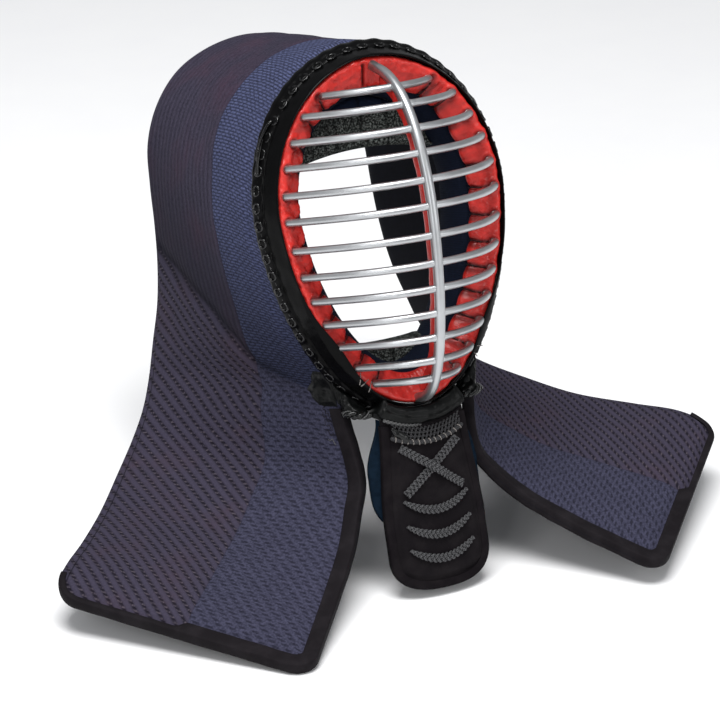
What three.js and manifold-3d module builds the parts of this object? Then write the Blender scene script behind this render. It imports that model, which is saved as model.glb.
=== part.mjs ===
// A kendo men: the helmet of padded cloth that a kendo fencer wears, with a metal face grille, a lacquered
// rim, side flaps that cover the shoulders, and a throat flap. It is shown as a head would hold it, leaning back.
//
// Units are millimetres. In the men's own frame +X is to the wearer's left, +Y is back and +Z is up, and
// the centre of the face ring is the zero point. The finished group turns that frame back by leanBack, and
// puts its origin where the face sits in the pad ring.
import * as THREE from "three";
import { mergeVertices } from "three/addons/utils/BufferGeometryUtils.js";
import Module from "manifold-3d";

const wasm = await Module();
wasm.setup();

// Driving sizes of the whole
const leanBack = 18; // degrees
const clearance = 0.3; // left between neighbouring pieces

// Face ring outline: an egg, the front outer edge of the red lining
const ringHalfWidth = 87.5;
const ringRise = 101.5; // from the widest level up to the top
const ringFall = 146; // from the widest level down to the chin
const ringWidestLevel = 22;
const chinTaper = 1.7; // 2 is a plain ellipse, less is a narrower jaw

// Face grille
const barRadius = 2.7;
const barInset = 5.5; // from the ring outline in to a bar's end
const barSeat = 7; // how far back a bar's end reaches from the ring plane
const grilleBulge = 62.5;
const barCurve = 2.3; // 2 is a parabola, more is a squarer bow
const bulgeEase = 0.85; // how fast the bulge fades towards the crown and the chin
const postWidth = 7;
const postFront = 4.6; // how far the upright bar stands in front of the cross bars' centre line
const postBack = 2.2;
const postShoulder = 0.55; // share of its half width and front where the upright bar's round begins
// Each cross bar's level, from the middle, as a share of the ring's half height
const crossBarLevels = [
  0.823, 0.723, 0.588, 0.451, 0.3, 0.152, -0.014, -0.171, -0.316, -0.459, -0.599, -0.733, -0.842,
];
const stripWidth = 4;
const stripDepth = 8.5;

// Rim lining (red) and rim band (black), as swept sections: out is away from the ring outline, back is +Y
const liningWidth = 20;
const liningSlope = 11; // how far back its inner edge lies
const liningThickness = 14;
const bandSpread = 11; // how far outside the outline the band's rear edge lies
const bandDepth = 23.5;
const bandLip = 0.8; // how far the band's front lip stands in front of the lining
const bandBead = 1.4; // how far the sewn edge roll stands proud
const bandLipWidth = 1.4;
const bandShoulder = 2; // how far outside its slope the band's front stands
const bandWaist = 0.35; // shares of its depth at which the band changes slope
const bandCrest = 0.72;
const bandTuck = 1; // how far in the rear corner turns

// Padded hood and side flaps
const padThickness = 8;
const padEdge = 5; // thickness under the binding
const padRearRound = 6; // over which the open rear edge thins
const padMiddleShares = [0.28, 0.45, 0.7]; // shares of the way from the front edge to the rear one
const hoodFrontTuck = 0.5; // how far past the band's rear corner the pad reaches
const hoodFrontGap = 1; // behind the band
const hoodBackHalfWidth = 90.5;
const hoodBackTop = 140.5;
const hoodDepth = 220; // from the ring plane to the rear edge
const hoodLeavesRim = 0.835; // share of the half outline, from the crown, where the hood leaves the rim
const flapCorner = 18; // corner radius at the flaps' tips
const flapHeadX = 50; // where a flap's front edge begins, beside the chin
const flapHeadZ = -122;
const flapRearX = 120;
const flapRearY = 210;
const flapRearZ = -120;
const frontSpread = 91; // from the front edge's beginning to the tip
const frontSweep = 88;
const frontDrop = 153;
const rearSpread = 152;
const rearSweep = 148;
const rearDrop = 88;
// Rear edge of the hood from the crown down, as shares of hoodBackHalfWidth and hoodBackTop
const hoodBackSections = [
  { out: 0, up: 1 },
  { out: 0.2, up: 0.988 },
  { out: 0.387, up: 0.954 },
  { out: 0.53, up: 0.912 },
  { out: 0.685, up: 0.84 },
  { out: 0.807, up: 0.744 },
  { out: 0.906, up: 0.648 },
  { out: 0.972, up: 0.502 },
  { out: 1, up: 0.285 },
  { out: 1.022, up: -0.036 },
  { out: 1.1, up: -0.356 },
  { out: 1.177, up: -0.52 },
  { out: 1.276, up: -0.726 },
];
// A flap's sections from the chin to the tip, as shares of the spread, sweep and drop of each edge
const flapSections = [
  { frontOut: 0, frontForward: 0, frontDown: 0, rearOut: 0, rearForward: 0, rearDown: 0 },
  { frontOut: -0.045, frontForward: 0.066, frontDown: 0.297, rearOut: 0.184, rearForward: 0.115, rearDown: 0.2125 },
  { frontOut: 0.055, frontForward: 0.134, frontDown: 0.449, rearOut: 0.296, rearForward: 0.23, rearDown: 0.3875 },
  { frontOut: 0.231, frontForward: 0.293, frontDown: 0.601, rearOut: 0.513, rearForward: 0.473, rearDown: 0.6 },
  { frontOut: 0.527, frontForward: 0.543, frontDown: 0.772, rearOut: 0.711, rearForward: 0.709, rearDown: 0.7375 },
  { frontOut: 0.824, frontForward: 0.816, frontDown: 0.918, rearOut: 0.868, rearForward: 0.878, rearDown: 0.8375 },
  { frontOut: 1, frontForward: 1, frontDown: 1, rearOut: 1, rearForward: 1, rearDown: 1 },
];
const hoodRows = 10; // sections between the crown and where the hood leaves the rim

// Binding of the flaps' edges
const bindingWall = 1.4;
const bindingReach = 10;
const bindingRise = 7; // over which the pad thickens beyond the binding
const bindingStart = 0.5; // of a station beyond the leather patch
const bindingGap = 1;
const bindingShort = 1; // how far short of its reach a flange ends

// Leather patch where the hood leaves the rim
const patchThickness = 1.8;
const patchReach = 34; // back from the front edge
const patchFrom = 0.61; // share of the way from the crown to the tip
const patchTo = 0.69;
const patchSteps = 4;
const patchEdge = 1.5; // from the hood's front edge

// Pad ring, forehead pad and chin pad inside the hood
const padRingOuter = 1; // inside the ring outline
const padRingInner = 28;
const padRingBack = 58;
const padRingFrontRound = 8;
const padRingRearRound = 6;
const foreheadLevel = 51; // lower edge
const chinLevel = -82; // upper edge
const innerPadFront = 34;
const innerPadBack = 56;
const innerPadBevel = 4;
const innerPadArch = 4; // how far the free edge rises or sinks in the middle

// Chin guard, throat flap and inner throat guard
const chinReach = 15.5; // outside the ring outline
const chinFront = 3.6; // in front of the ring plane
const chinBack = 16.5;
const chinBow = 0.6; // how far the front face bows out
const chinRound = 2;
const chinGap = 0.8; // to the band behind it
const chinSpan = 0.088; // share of the half outline on each side of the chin
const throatTopHalfWidth = 32;
const throatHalfWidth = 38;
const throatBottom = -257;
const throatRound = 26;
const throatSpread = 0.8; // share of its length over which it widens
const throatThickness = 7;
const throatEdge = 4;
const throatCurve = 4; // how far back the flap's sides lie
const throatRise = 4; // over which it thickens beyond the binding
const throatSquareness = 2.6; // 2 is an elliptic lower end
const throatWall = 1;
const throatReach = 5.5;
const throatBindingShort = 0.7; // how far short of its reach a flange ends
const throatBindingStart = 0.045; // share of the flap's length
const guardHalfWidth = 43;
const guardBottom = -217;
const guardRound = 34;
const guardThickness = 4.6;
const guardEdge = 3.2;
const guardGap = 1; // behind the throat flap

// Flat braided cords sewn on the throat flap
const cordWidth = 7;
const cordThickness = 2.4;
const cordGap = 0.35;
const cordFlat = 0.72; // share of the width that lies flat
const topCordWidth = 12;
const topCordGap = 1.8; // below the chin guard
const crossTop = -153;
const crossBottom = -187;
const crossHalfWidth = 22.5;
const rowHalfWidth = 25;
const rowLevels = [-191.5, -209.5, -227];
const rowSag = 9.5;

// Leather lacing beside the chin
const lacingRadius = 3.2;
const lacingFront = 6; // back from the ring plane
const lacingLift = 2;
const lacingRise = 1; // higher in the middle of its run
const lacingSag = 2; // below the flap's corner
const lacingBend = 4; // how far back it has turned there

// Mesh fineness
const ringSteps = 48;
const barSteps = 8;
const barSides = 6;
const postSteps = 18;
const cordSteps = 8;
const lacingSteps = 10;
const lacingSides = 8;
const padRingSteps = 40;
const chinSteps = 12;
const innerPadSteps = 9;

const colours = {
  pad: 0x35334a,
  binding: 0x2b2829,
  metal: 0xb4b7ba,
  red: 0xc62f28,
  lacquer: 0x0b0b0b,
  leather: 0x171918,
  throat: 0x2a2729,
  indigo: 0x12283a,
  velvet: 0x1c1e1d,
  cord: 0x1b1b1c,
};

const point = (x, y, z) => new THREE.Vector3(x, y, z);
const smooth = (t) => {
  const c = THREE.MathUtils.clamp(t, 0, 1);
  return c * c * (3 - 2 * c);
};

// Closed solid through loops of points that follow one section; ends are capped unless it closes on itself.
function skin(loops, section, closed = false, cap = THREE.ShapeUtils.triangulateShape(section, [])) {
  const count = loops[0].length;
  const index = [];
  const spans = closed ? loops.length : loops.length - 1;
  for (let i = 0; i < spans; i++) {
    const next = (i + 1) % loops.length;
    for (let j = 0; j < count; j++) {
      const k = (j + 1) % count;
      index.push(i * count + j, i * count + k, next * count + k);
      index.push(i * count + j, next * count + k, next * count + j);
    }
  }
  if (!closed) {
    const turn = Math.sign(THREE.ShapeUtils.area(section));
    const last = (loops.length - 1) * count;
    for (const [a, b, c] of cap) {
      const same = Math.sign(THREE.ShapeUtils.area([section[a], section[b], section[c]])) === turn;
      const [p, q] = same ? [b, c] : [c, b];
      index.push(a, q, p, last + a, last + p, last + q);
    }
  }
  const geometry = new THREE.BufferGeometry().setFromPoints(loops.flat());
  geometry.setIndex(facingOut(loops.flat(), index));
  return geometry;
}

// The triangles in the order that makes the enclosed volume positive.
function facingOut(points, index) {
  let volume = 0;
  const normal = new THREE.Vector3();
  for (let i = 0; i < index.length; i += 3) {
    const [a, b, c] = [points[index[i]], points[index[i + 1]], points[index[i + 2]]];
    volume += a.dot(normal.crossVectors(b, c));
  }
  return volume >= 0 ? index : index.map((_, i) => index[i - (i % 3) + 2 - (i % 3)]);
}

// The same geometry on the other side of the men.
function mirrored(geometry) {
  const other = geometry.clone();
  other.scale(-1, 1, 1);
  const index = Array.from(other.index.array);
  other.setIndex(index.map((_, i) => index[i - (i % 3) + 2 - (i % 3)]));
  return other;
}

// manifold-3d solid of a geometry, and back
function solidOf(geometry) {
  const bare = geometry.clone();
  bare.deleteAttribute("normal");
  bare.deleteAttribute("uv");
  const merged = mergeVertices(bare, 1e-3);
  return new wasm.Manifold(
    new wasm.Mesh({
      numProp: 3,
      vertProperties: merged.attributes.position.array,
      triVerts: new Uint32Array(merged.index.array),
    }),
  );
}

function geometryOf(solid) {
  const mesh = solid.getMesh();
  const geometry = new THREE.BufferGeometry();
  geometry.setAttribute("position", new THREE.BufferAttribute(new Float32Array(mesh.vertProperties), 3));
  geometry.setIndex(new THREE.BufferAttribute(new Uint32Array(mesh.triVerts), 1));
  return geometry;
}

// Ring outline, walked from the crown to the chin on the wearer's left
const halfOutline = (() => {
  const steps = 600;
  const walk = [];
  for (let i = 0; i <= steps; i++) {
    const angle = (Math.PI * i) / steps;
    const c = Math.cos(angle);
    const z = c >= 0 ? ringRise * c : -ringFall * Math.pow(-c, 2 / chinTaper);
    walk.push(new THREE.Vector2(ringHalfWidth * Math.sin(angle), ringWidestLevel + z));
  }
  const lengths = [0];
  for (let i = 1; i <= steps; i++) lengths.push(lengths[i - 1] + walk[i].distanceTo(walk[i - 1]));
  return { walk, lengths, total: lengths[steps] };
})();
const ringTop = ringWidestLevel + ringRise;
const ringBottom = ringWidestLevel - ringFall;
const ringMiddle = (ringTop + ringBottom) / 2;
const ringHalfHeight = (ringTop - ringBottom) / 2;

function walkAt(share) {
  const { walk, lengths, total } = halfOutline;
  const target = THREE.MathUtils.clamp(share, 0, 1) * total;
  let i = 1;
  while (i < lengths.length - 1 && lengths[i] < target) i++;
  const t = (target - lengths[i - 1]) / (lengths[i] - lengths[i - 1]);
  return walk[i - 1].clone().lerp(walk[i], t);
}

// Point of the outline and its outward normal; share runs from 0 at the crown over 1 at the chin to 2.
function outline(share) {
  const onRight = share > 1;
  const half = onRight ? 2 - share : share;
  const step = 0.004;
  const at = walkAt(half);
  const before = half < step ? walkAt(step).multiply(new THREE.Vector2(-1, 1)) : walkAt(half - step);
  const after = half > 1 - step ? walkAt(1 - step).multiply(new THREE.Vector2(-1, 1)) : walkAt(half + step);
  const along = after.sub(before).normalize();
  const side = onRight ? -1 : 1;
  return { x: at.x * side, z: at.y, outX: -along.y * side, outZ: along.x };
}

// Point a given way outside the outline, and back from the ring plane
function rimPoint(share, out, back) {
  const o = outline(share);
  return point(o.x + o.outX * out, back, o.z + o.outZ * out);
}

// Share of the half outline at which a given inset line reaches a level
function shareAt(level, inset) {
  let low = 0;
  let high = 1;
  for (let i = 0; i < 40; i++) {
    const middle = (low + high) / 2;
    if (rimPoint(middle, -inset, 0).z > level) low = middle;
    else high = middle;
  }
  return low;
}

// Half the width inside the outline at one level, a given inset in from it
const halfWidthAt = (level, inset) => Math.max(0, rimPoint(shareAt(level, inset), -inset, 0).x);

// Solid ring that follows the outline with one section of {out, back} corners
function rimSweep(section, from = 0, to = 2, steps = ringSteps) {
  const whole = to - from >= 2;
  const loops = [];
  for (let i = 0; i < (whole ? steps : steps + 1); i++) {
    const share = from + ((to - from) * i) / steps;
    loops.push(section.map((corner) => rimPoint(share, corner.out, corner.back)));
  }
  return skin(loops, section.map((corner) => new THREE.Vector2(corner.out, corner.back)), whole);
}

// A section with every corner moved outwards
function grown(section, distance) {
  const corners = section.map((c) => new THREE.Vector2(c.out, c.back));
  const turn = Math.sign(THREE.ShapeUtils.area(corners));
  return corners.map((c, i) => {
    const a = corners[(i + corners.length - 1) % corners.length];
    const b = corners[(i + 1) % corners.length];
    const first = c.clone().sub(a).normalize();
    const second = b.clone().sub(c).normalize();
    const normal = new THREE.Vector2(first.y + second.y, -first.x - second.x);
    normal.multiplyScalar(turn).normalize();
    const lean = Math.max(0.5, normal.dot(new THREE.Vector2(first.y, -first.x).multiplyScalar(turn)));
    return { out: c.x + (normal.x * distance) / lean, back: c.y + (normal.y * distance) / lean };
  });
}

// Tube along points, with a section given as [across, up] pairs; up stays near the given direction.
function tube(path, section, up) {
  const loops = path.map((p, i) => {
    const ahead = path[Math.min(i + 1, path.length - 1)];
    const behind = path[Math.max(i - 1, 0)];
    const along = ahead.clone().sub(behind).normalize();
    const across = new THREE.Vector3().crossVectors(along, up).normalize();
    const top = new THREE.Vector3().crossVectors(across, along);
    return section.map(([a, b]) => p.clone().addScaledVector(across, a).addScaledVector(top, b));
  });
  return skin(loops, section.map(([a, b]) => new THREE.Vector2(a, b)));
}

const roundSection = (radius, sides) =>
  Array.from({ length: sides }, (_, i) => {
    const angle = (2 * Math.PI * (i + 0.5)) / sides;
    return [radius * Math.cos(angle), radius * Math.sin(angle)];
  });

// Face grille

const barBulge = (halfWidth) => grilleBulge * Math.pow(halfWidth / (ringHalfWidth - barInset), bulgeEase);

function crossBarPath(level, seat) {
  const half = halfWidthAt(level, barInset);
  const path = [point(-half, seat, level)];
  for (let i = 0; i <= barSteps; i++) {
    const out = Math.sin((Math.PI / 2) * ((2 * i) / barSteps - 1));
    path.push(point(half * out, -barBulge(half) * (1 - Math.pow(Math.abs(out), barCurve)), level));
  }
  path.push(point(half, seat, level));
  return path;
}

// Line of the grille's middle from the crown to the chin, moved back by an inset
function middleLine(inset, seat) {
  const walk = [point(0, seat, rimPoint(0, -barInset, 0).z)];
  for (let i = 0; i <= 200; i++) {
    const p = rimPoint(i / 200, -barInset, 0);
    walk.push(point(0, -barBulge(Math.max(0, p.x)), p.z));
  }
  walk.push(point(0, seat, rimPoint(1, -barInset, 0).z));
  const curve = new THREE.CurvePath();
  for (let i = 1; i < walk.length; i++) {
    if (walk[i].distanceTo(walk[i - 1]) > 1e-6) curve.add(new THREE.LineCurve3(walk[i - 1], walk[i]));
  }
  const line = curve.getSpacedPoints(postSteps);
  return line.map((p, i) => {
    const along = line[Math.min(i + 1, postSteps)].clone().sub(line[Math.max(i - 1, 0)]).normalize();
    return p.clone().addScaledVector(point(0, -along.z, along.y), -inset);
  });
}

const acrossMen = point(1, 0, 0);
const upMen = point(0, 0, 1);

function faceGrille() {
  const levels = crossBarLevels.map((share) => ringMiddle + share * ringHalfHeight);
  const half = postWidth / 2;
  const postSection = [
    [half * postShoulder, postFront],
    [half, postFront * postShoulder],
    [half, -postBack],
    [-half, -postBack],
    [-half, postFront * postShoulder],
    [-half * postShoulder, postFront],
  ].map(([a, b]) => [b, a]);
  const post = solidOf(tube(middleLine(0, barSeat), postSection, acrossMen));
  const round = roundSection(barRadius, barSides);
  const bars = levels.map((level) => solidOf(tube(crossBarPath(level, barSeat), round, upMen)));
  return bars.reduce((all, bar) => all.add(bar), post);
}

// Room for the grille's ends in the lining
function grilleSockets() {
  const levels = crossBarLevels.map((share) => ringMiddle + share * ringHalfHeight);
  const room = roundSection(barRadius + 2 * clearance, barSides);
  const slot = postWidth / 2 + clearance;
  const slotSection = [
    [-slot, -postFront - clearance],
    [slot, -postFront - clearance],
    [slot, postBack + clearance],
    [-slot, postBack + clearance],
  ];
  const sockets = [];
  for (const level of levels) {
    const path = crossBarPath(level, barSeat + clearance);
    for (const end of [path.slice(0, 3), path.slice(-3)]) sockets.push(solidOf(tube(end, room, upMen)));
  }
  const line = middleLine(0, barSeat + clearance);
  for (const end of [line.slice(0, 3), line.slice(-3)]) {
    sockets.push(solidOf(tube(end, slotSection.map(([a, b]) => [-b, a]), acrossMen)));
  }
  return sockets;
}

// Rim lining and rim band

const liningSection = [
  { out: 0, back: 0 },
  { out: -liningWidth * 0.4, back: liningSlope * 0.2 },
  { out: -liningWidth * 0.88, back: liningSlope * 0.8 },
  { out: -liningWidth, back: liningSlope * 1.1 },
  { out: -liningWidth * 0.9, back: liningSlope + liningThickness * 0.3 },
  { out: 0, back: liningThickness },
];

const bandSlope = (back) => bandSpread * Math.pow(THREE.MathUtils.clamp(back / bandDepth, 0, 1), 0.9);
const bandSection = [
  { out: clearance, back: liningThickness },
  { out: clearance, back: -bandLip },
  { out: bandLipWidth, back: -bandLip },
  { out: bandShoulder + bandSlope(bandDepth * bandWaist), back: bandDepth * bandWaist },
  { out: bandSlope(bandDepth * bandCrest) + bandBead, back: bandDepth * bandCrest },
  { out: bandSpread + bandBead * 0.6, back: bandDepth * 0.88 },
  { out: bandSpread - bandTuck, back: bandDepth },
  { out: bandShoulder, back: bandDepth },
];

function rimLining() {
  const ring = solidOf(rimSweep(liningSection));
  return grilleSockets().reduce((left, socket) => left.subtract(socket), ring);
}

// Red strip behind the grille's upright bar, cut back where it meets the lining
function centreStrip() {
  const half = stripWidth / 2;
  const front = -(barRadius + clearance);
  const section = [
    [front, half],
    [front, -half],
    [front - stripDepth, -half],
    [front - stripDepth, half],
  ];
  const line = middleLine(0, liningSlope);
  const strip = solidOf(tube(line.slice(1, -1), section, acrossMen));
  const cutter = solidOf(rimSweep(grown(liningSection, clearance)));
  const pieces = strip.subtract(cutter).decompose();
  return pieces.reduce((largest, piece) => (piece.volume() > largest.volume() ? piece : largest));
}

// Padded hood

const hoodFrontOut = bandSpread - bandTuck - padThickness / 2 + hoodFrontTuck;
const hoodFrontBack = bandDepth + hoodFrontGap;

function spacedLine(points, count) {
  return new THREE.CatmullRomCurve3(points, false, "centripetal").getSpacedPoints(count);
}

// Front and rear edge of the pad's middle surface, section by section, from the crown to the left tip
const hoodSections = (() => {
  const rear = hoodBackSections.map((s) => point(s.out * hoodBackHalfWidth, hoodDepth, s.up * hoodBackTop));
  const rearLine = spacedLine(rear, hoodRows);
  const rows = rearLine.map((back, i) => ({
    front: rimPoint((hoodLeavesRim * i) / hoodRows, hoodFrontOut, hoodFrontBack),
    back,
  }));
  for (const s of flapSections) {
    rows.push({
      front: point(
        flapHeadX + s.frontOut * frontSpread,
        hoodFrontBack - s.frontForward * frontSweep,
        flapHeadZ - s.frontDown * frontDrop,
      ),
      back: point(
        flapRearX + s.rearOut * rearSpread,
        flapRearY - s.rearForward * rearSweep,
        flapRearZ - s.rearDown * rearDrop,
      ),
    });
  }
  const first = rows[1];
  const beyond = rows[rows.length - 1];
  const inner = rows[rows.length - 2];
  const mirror = (p) => point(-p.x, p.y, p.z);
  const extend = (a, b) => a.clone().multiplyScalar(2).sub(b);
  return [
    { front: mirror(first.front), back: mirror(first.back) },
    ...rows,
    { front: extend(beyond.front, inner.front), back: extend(beyond.back, inner.back) },
  ];
})();
const sectionSpans = hoodSections.length - 3;

function splineAt(key, place) {
  const i = THREE.MathUtils.clamp(Math.floor(place), 0, sectionSpans - 1);
  const t = place - i;
  const [a, b, c, d] = [0, 1, 2, 3].map((k) => hoodSections[i + k][key]);
  return point(0, 0, 0)
    .addScaledVector(a, ((2 - t) * t - 1) * t * 0.5)
    .addScaledVector(b, (t * t * (3 * t - 5) + 2) * 0.5)
    .addScaledVector(c, ((4 - 3 * t) * t + 1) * t * 0.5)
    .addScaledVector(d, (t - 1) * t * t * 0.5);
}

// Place on the pad's middle surface: place is the signed section number, share runs from front to rear.
function hoodPoint(place, share) {
  const p = splineAt("front", Math.abs(place)).lerp(splineAt("back", Math.abs(place)), share);
  if (place < 0) p.x = -p.x;
  return p;
}

const tipSections = hoodSections[hoodSections.length - 2];
const padWidth = tipSections.front.distanceTo(tipSections.back);
const tipStep = tipSections.front.distanceTo(hoodSections[hoodSections.length - 3].front);

// How far the rounded tip corners take the edge back, in section numbers
function tipSetback(share) {
  const inset = Math.min(share, 1 - share) * padWidth;
  if (inset >= flapCorner) return 0;
  const rest = flapCorner - inset;
  return (flapCorner - Math.sqrt(flapCorner * flapCorner - rest * rest)) / tipStep;
}

const arcStep = (degrees) => flapCorner * (1 - Math.sin(THREE.MathUtils.degToRad(degrees)));
const borderSteps = [0, arcStep(60), arcStep(30), flapCorner];
const padShares = [
  ...borderSteps.map((d) => d / padWidth),
  ...padMiddleShares,
  ...borderSteps.map((d) => 1 - d / padWidth).reverse(),
];
// Stations from the crown to a tip: the last three follow the tip's edge
const freeStations = 21;
const tipInsets = [bindingReach + bindingRise, bindingReach, 0];
const halfStations = freeStations + tipInsets.length;

function stationPlace(station, share) {
  const end = sectionSpans - tipSetback(share);
  const side = Math.sign(station);
  const k = Math.abs(station);
  if (k > freeStations) return side * (end - tipInsets[k - freeStations - 1] / tipStep);
  return side * ((k / (freeStations + 1)) * (end - tipInsets[0] / tipStep));
}

const hoodStationPoint = (station, share) => hoodPoint(stationPlace(station, share), share);

function hoodNormal(station, share) {
  const place = stationPlace(station, share);
  const step = 0.05;
  const low = THREE.MathUtils.clamp(share, 0.02, 0.98) - 0.02;
  const along = hoodPoint(place + step, share).sub(hoodPoint(place - step, share));
  const across = hoodPoint(place, low + 0.04).sub(hoodPoint(place, low));
  return new THREE.Vector3().crossVectors(across, along).normalize();
}

function padHalfThickness(station, share) {
  const front = share * padWidth;
  const rear = (1 - share) * padWidth;
  const end = sectionSpans - tipSetback(share);
  const tip = (end - Math.abs(stationPlace(station, share))) * tipStep;
  const bound = smooth((Math.min(front, tip) - bindingReach) / bindingRise);
  const open = smooth(rear / padRearRound);
  return (padEdge + (padThickness - padEdge) * Math.min(bound, open)) / 2;
}

// Solid sheet between two offsets of a surface, over lists of stations and shares
function sheet(pointAt, normalAt, halfAt, stations, shares) {
  const side = (station, sign) => (share) =>
    pointAt(station, share).addScaledVector(normalAt(station, share), sign * halfAt(station, share));
  const loops = stations.map((s) => [...shares.map(side(s, 1)), ...[...shares].reverse().map(side(s, -1))]);
  const last = shares.length - 1;
  const section = [
    ...shares.map((_, i) => new THREE.Vector2(i, 1)),
    ...shares.map((_, i) => new THREE.Vector2(last - i, -1)),
  ];
  const cap = shares.slice(1).flatMap((_, i) => [
    [i, i + 1, 2 * last - i],
    [i, 2 * last - i, 2 * last + 1 - i],
  ]);
  return skin(loops, section, false, cap);
}

const stationList = (from, to) => Array.from({ length: to - from + 1 }, (_, i) => from + i);

function paddedHood() {
  const left = sheet(hoodStationPoint, hoodNormal, padHalfThickness, stationList(0, halfStations), padShares);
  return geometryOf(solidOf(left).add(solidOf(mirrored(left))));
}

// Folded strip round an edge: frames are {at, inward, normal} along the edge
function edgeBinding(frames, half, wall, reach, gap) {
  const inner = half + gap;
  const outer = inner + wall;
  const section = [
    [-gap - wall, -outer],
    [reach, -outer],
    [reach, -inner],
    [-gap, -inner],
    [-gap, inner],
    [reach, inner],
    [reach, outer],
    [-gap - wall, outer],
  ];
  const loops = frames.map(({ at, inward, normal }) =>
    section.map(([i, n]) => at.clone().addScaledVector(inward, i).addScaledVector(normal, n)),
  );
  return skin(loops, section.map(([i, n]) => new THREE.Vector2(i, n)));
}

// Frames along a walk of surface places; the pad lies on the side that inside points to.
function edgeFrames(places, pointAt, normalAt, inside) {
  const at = places.map(([s, v]) => pointAt(s, v));
  return places.map(([s, v], i) => {
    const ahead = at[Math.min(i + 1, at.length - 1)];
    const behind = at[Math.max(i - 1, 0)];
    const along = ahead.clone().sub(behind).normalize();
    const normal = normalAt(s, v);
    const inward = new THREE.Vector3().crossVectors(normal, along).normalize();
    if (inward.dot(inside.clone().sub(at[i])) < 0) inward.negate();
    normal.crossVectors(along, inward).normalize();
    return { at: at[i], inward, normal };
  });
}

const patchStation = (t) => (freeStations + 1) * (patchFrom + (patchTo - patchFrom) * t);

function hoodBinding() {
  const start = patchStation(1) + bindingStart;
  const places = [
    [start, 0],
    ...stationList(Math.ceil(start + 0.2), halfStations).map((station) => [station, 0]),
    ...padShares.slice(1).map((share) => [halfStations, share]),
  ];
  const inside = hoodStationPoint(freeStations - 3, 0.5);
  const frames = edgeFrames(places, hoodStationPoint, hoodNormal, inside);
  // Along the front edge the flanges lie along the hood's own sections.
  places.forEach(([station], i) => {
    if (station > freeStations) return;
    frames[i].normal = hoodNormal(station, 0);
    frames[i].inward = hoodStationPoint(station, 0.1).sub(frames[i].at).normalize();
  });
  return edgeBinding(frames, padEdge / 2, bindingWall, bindingReach - bindingShort, bindingGap);
}

function cornerPatch() {
  const reach = patchReach / padWidth;
  const inner = padShares.filter((share) => share > 2 * (patchEdge / padWidth) && share < reach);
  const shares = [patchEdge / padWidth, ...inner, reach];
  const stations = Array.from({ length: patchSteps + 1 }, (_, i) => patchStation(i / patchSteps));
  const seat = bindingGap + patchThickness / 2;
  const over = (station, share) =>
    hoodStationPoint(station, share).addScaledVector(
      hoodNormal(station, share),
      outwards * (padHalfThickness(station, share) + seat),
    );
  return sheet(over, hoodNormal, () => patchThickness / 2, stations, shares);
}

// Whether the hood's normals point away from its hollow
const outwards = Math.sign(hoodNormal(0, 0.5).z);

// Pads inside the hood

function padRing() {
  const front = liningSlope + liningThickness * 0.3 + clearance;
  const middle = (padRingOuter + padRingInner) / 2;
  const half = (padRingInner - padRingOuter) / 2;
  const section = [
    { out: -middle + half * 0.6, back: front },
    { out: -middle - half * 0.4, back: front },
    { out: -middle - half * 0.9, back: front + padRingFrontRound },
    { out: -middle - half, back: (front + padRingBack) / 2 },
    { out: -middle - half * 0.8, back: padRingBack - padRingRearRound },
    { out: -middle, back: padRingBack },
    { out: -middle + half * 0.8, back: padRingBack - padRingRearRound },
    { out: -middle + half, back: front + padRingFrontRound },
  ];
  return rimSweep(section, 0, 2, padRingSteps);
}

// Block that fills the pad ring between its inner edge and one level
function innerPad(level, above) {
  const arch = above ? innerPadArch : -innerPadArch;
  const layers = [
    { back: innerPadFront, tuck: innerPadBevel },
    { back: innerPadFront + innerPadBevel, tuck: 0 },
    { back: innerPadBack - innerPadBevel, tuck: 0 },
    { back: innerPadBack, tuck: innerPadBevel },
  ];
  const loops = layers.map(({ back, tuck }) => {
    const inset = padRingInner + clearance + tuck;
    const edge = level + (above ? tuck : -tuck);
    const corner = shareAt(edge, inset);
    const far = above ? 0 : 1;
    const loop = [];
    for (let i = -innerPadSteps; i <= innerPadSteps; i++) {
      const p = rimPoint(far + ((corner - far) * Math.abs(i)) / innerPadSteps, -inset, back);
      if (i < 0) p.x = -p.x;
      loop.push(p);
    }
    const half = loop[loop.length - 1].x;
    for (const t of [0.6, 0.3, 0, -0.3, -0.6]) loop.push(point(half * t, back, edge + arch * (1 - t * t)));
    return loop;
  });
  return skin(loops, loops[0].map((p) => new THREE.Vector2(p.x, p.z)));
}

// Chin guard and throat pieces

const chinSection = [
  { out: bandLipWidth + chinGap, back: -chinFront },
  { out: chinReach * 0.8, back: -chinFront - chinBow },
  { out: chinReach, back: -chinFront + chinRound },
  { out: chinReach, back: chinBack },
  { out: bandSlope(bandDepth * bandCrest) + bandBead + 2 * clearance, back: chinBack },
  { out: bandShoulder + chinGap + bandSlope(bandDepth * bandWaist), back: bandDepth * bandWaist },
  { out: bandLipWidth + chinGap, back: -bandLip },
];

const chinGuard = () => rimSweep(chinSection, 1 - chinSpan, 1 + chinSpan, chinSteps);

// Level of the chin guard's lower edge at a distance from the middle
function chinEdgeLevel(x) {
  let low = 0.7;
  let high = 1;
  for (let i = 0; i < 40; i++) {
    const middle = (low + high) / 2;
    if (rimPoint(middle, chinReach, 0).x > Math.abs(x)) low = middle;
    else high = middle;
  }
  return rimPoint(low, chinReach, 0).z;
}

// How far down a tongue reaches, as a share of its round end, from its middle out to its sides
const squareRound = (v) =>
  Math.pow(Math.max(0, 1 - Math.pow(Math.abs(v), throatSquareness)), 1 / throatSquareness);

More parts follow.
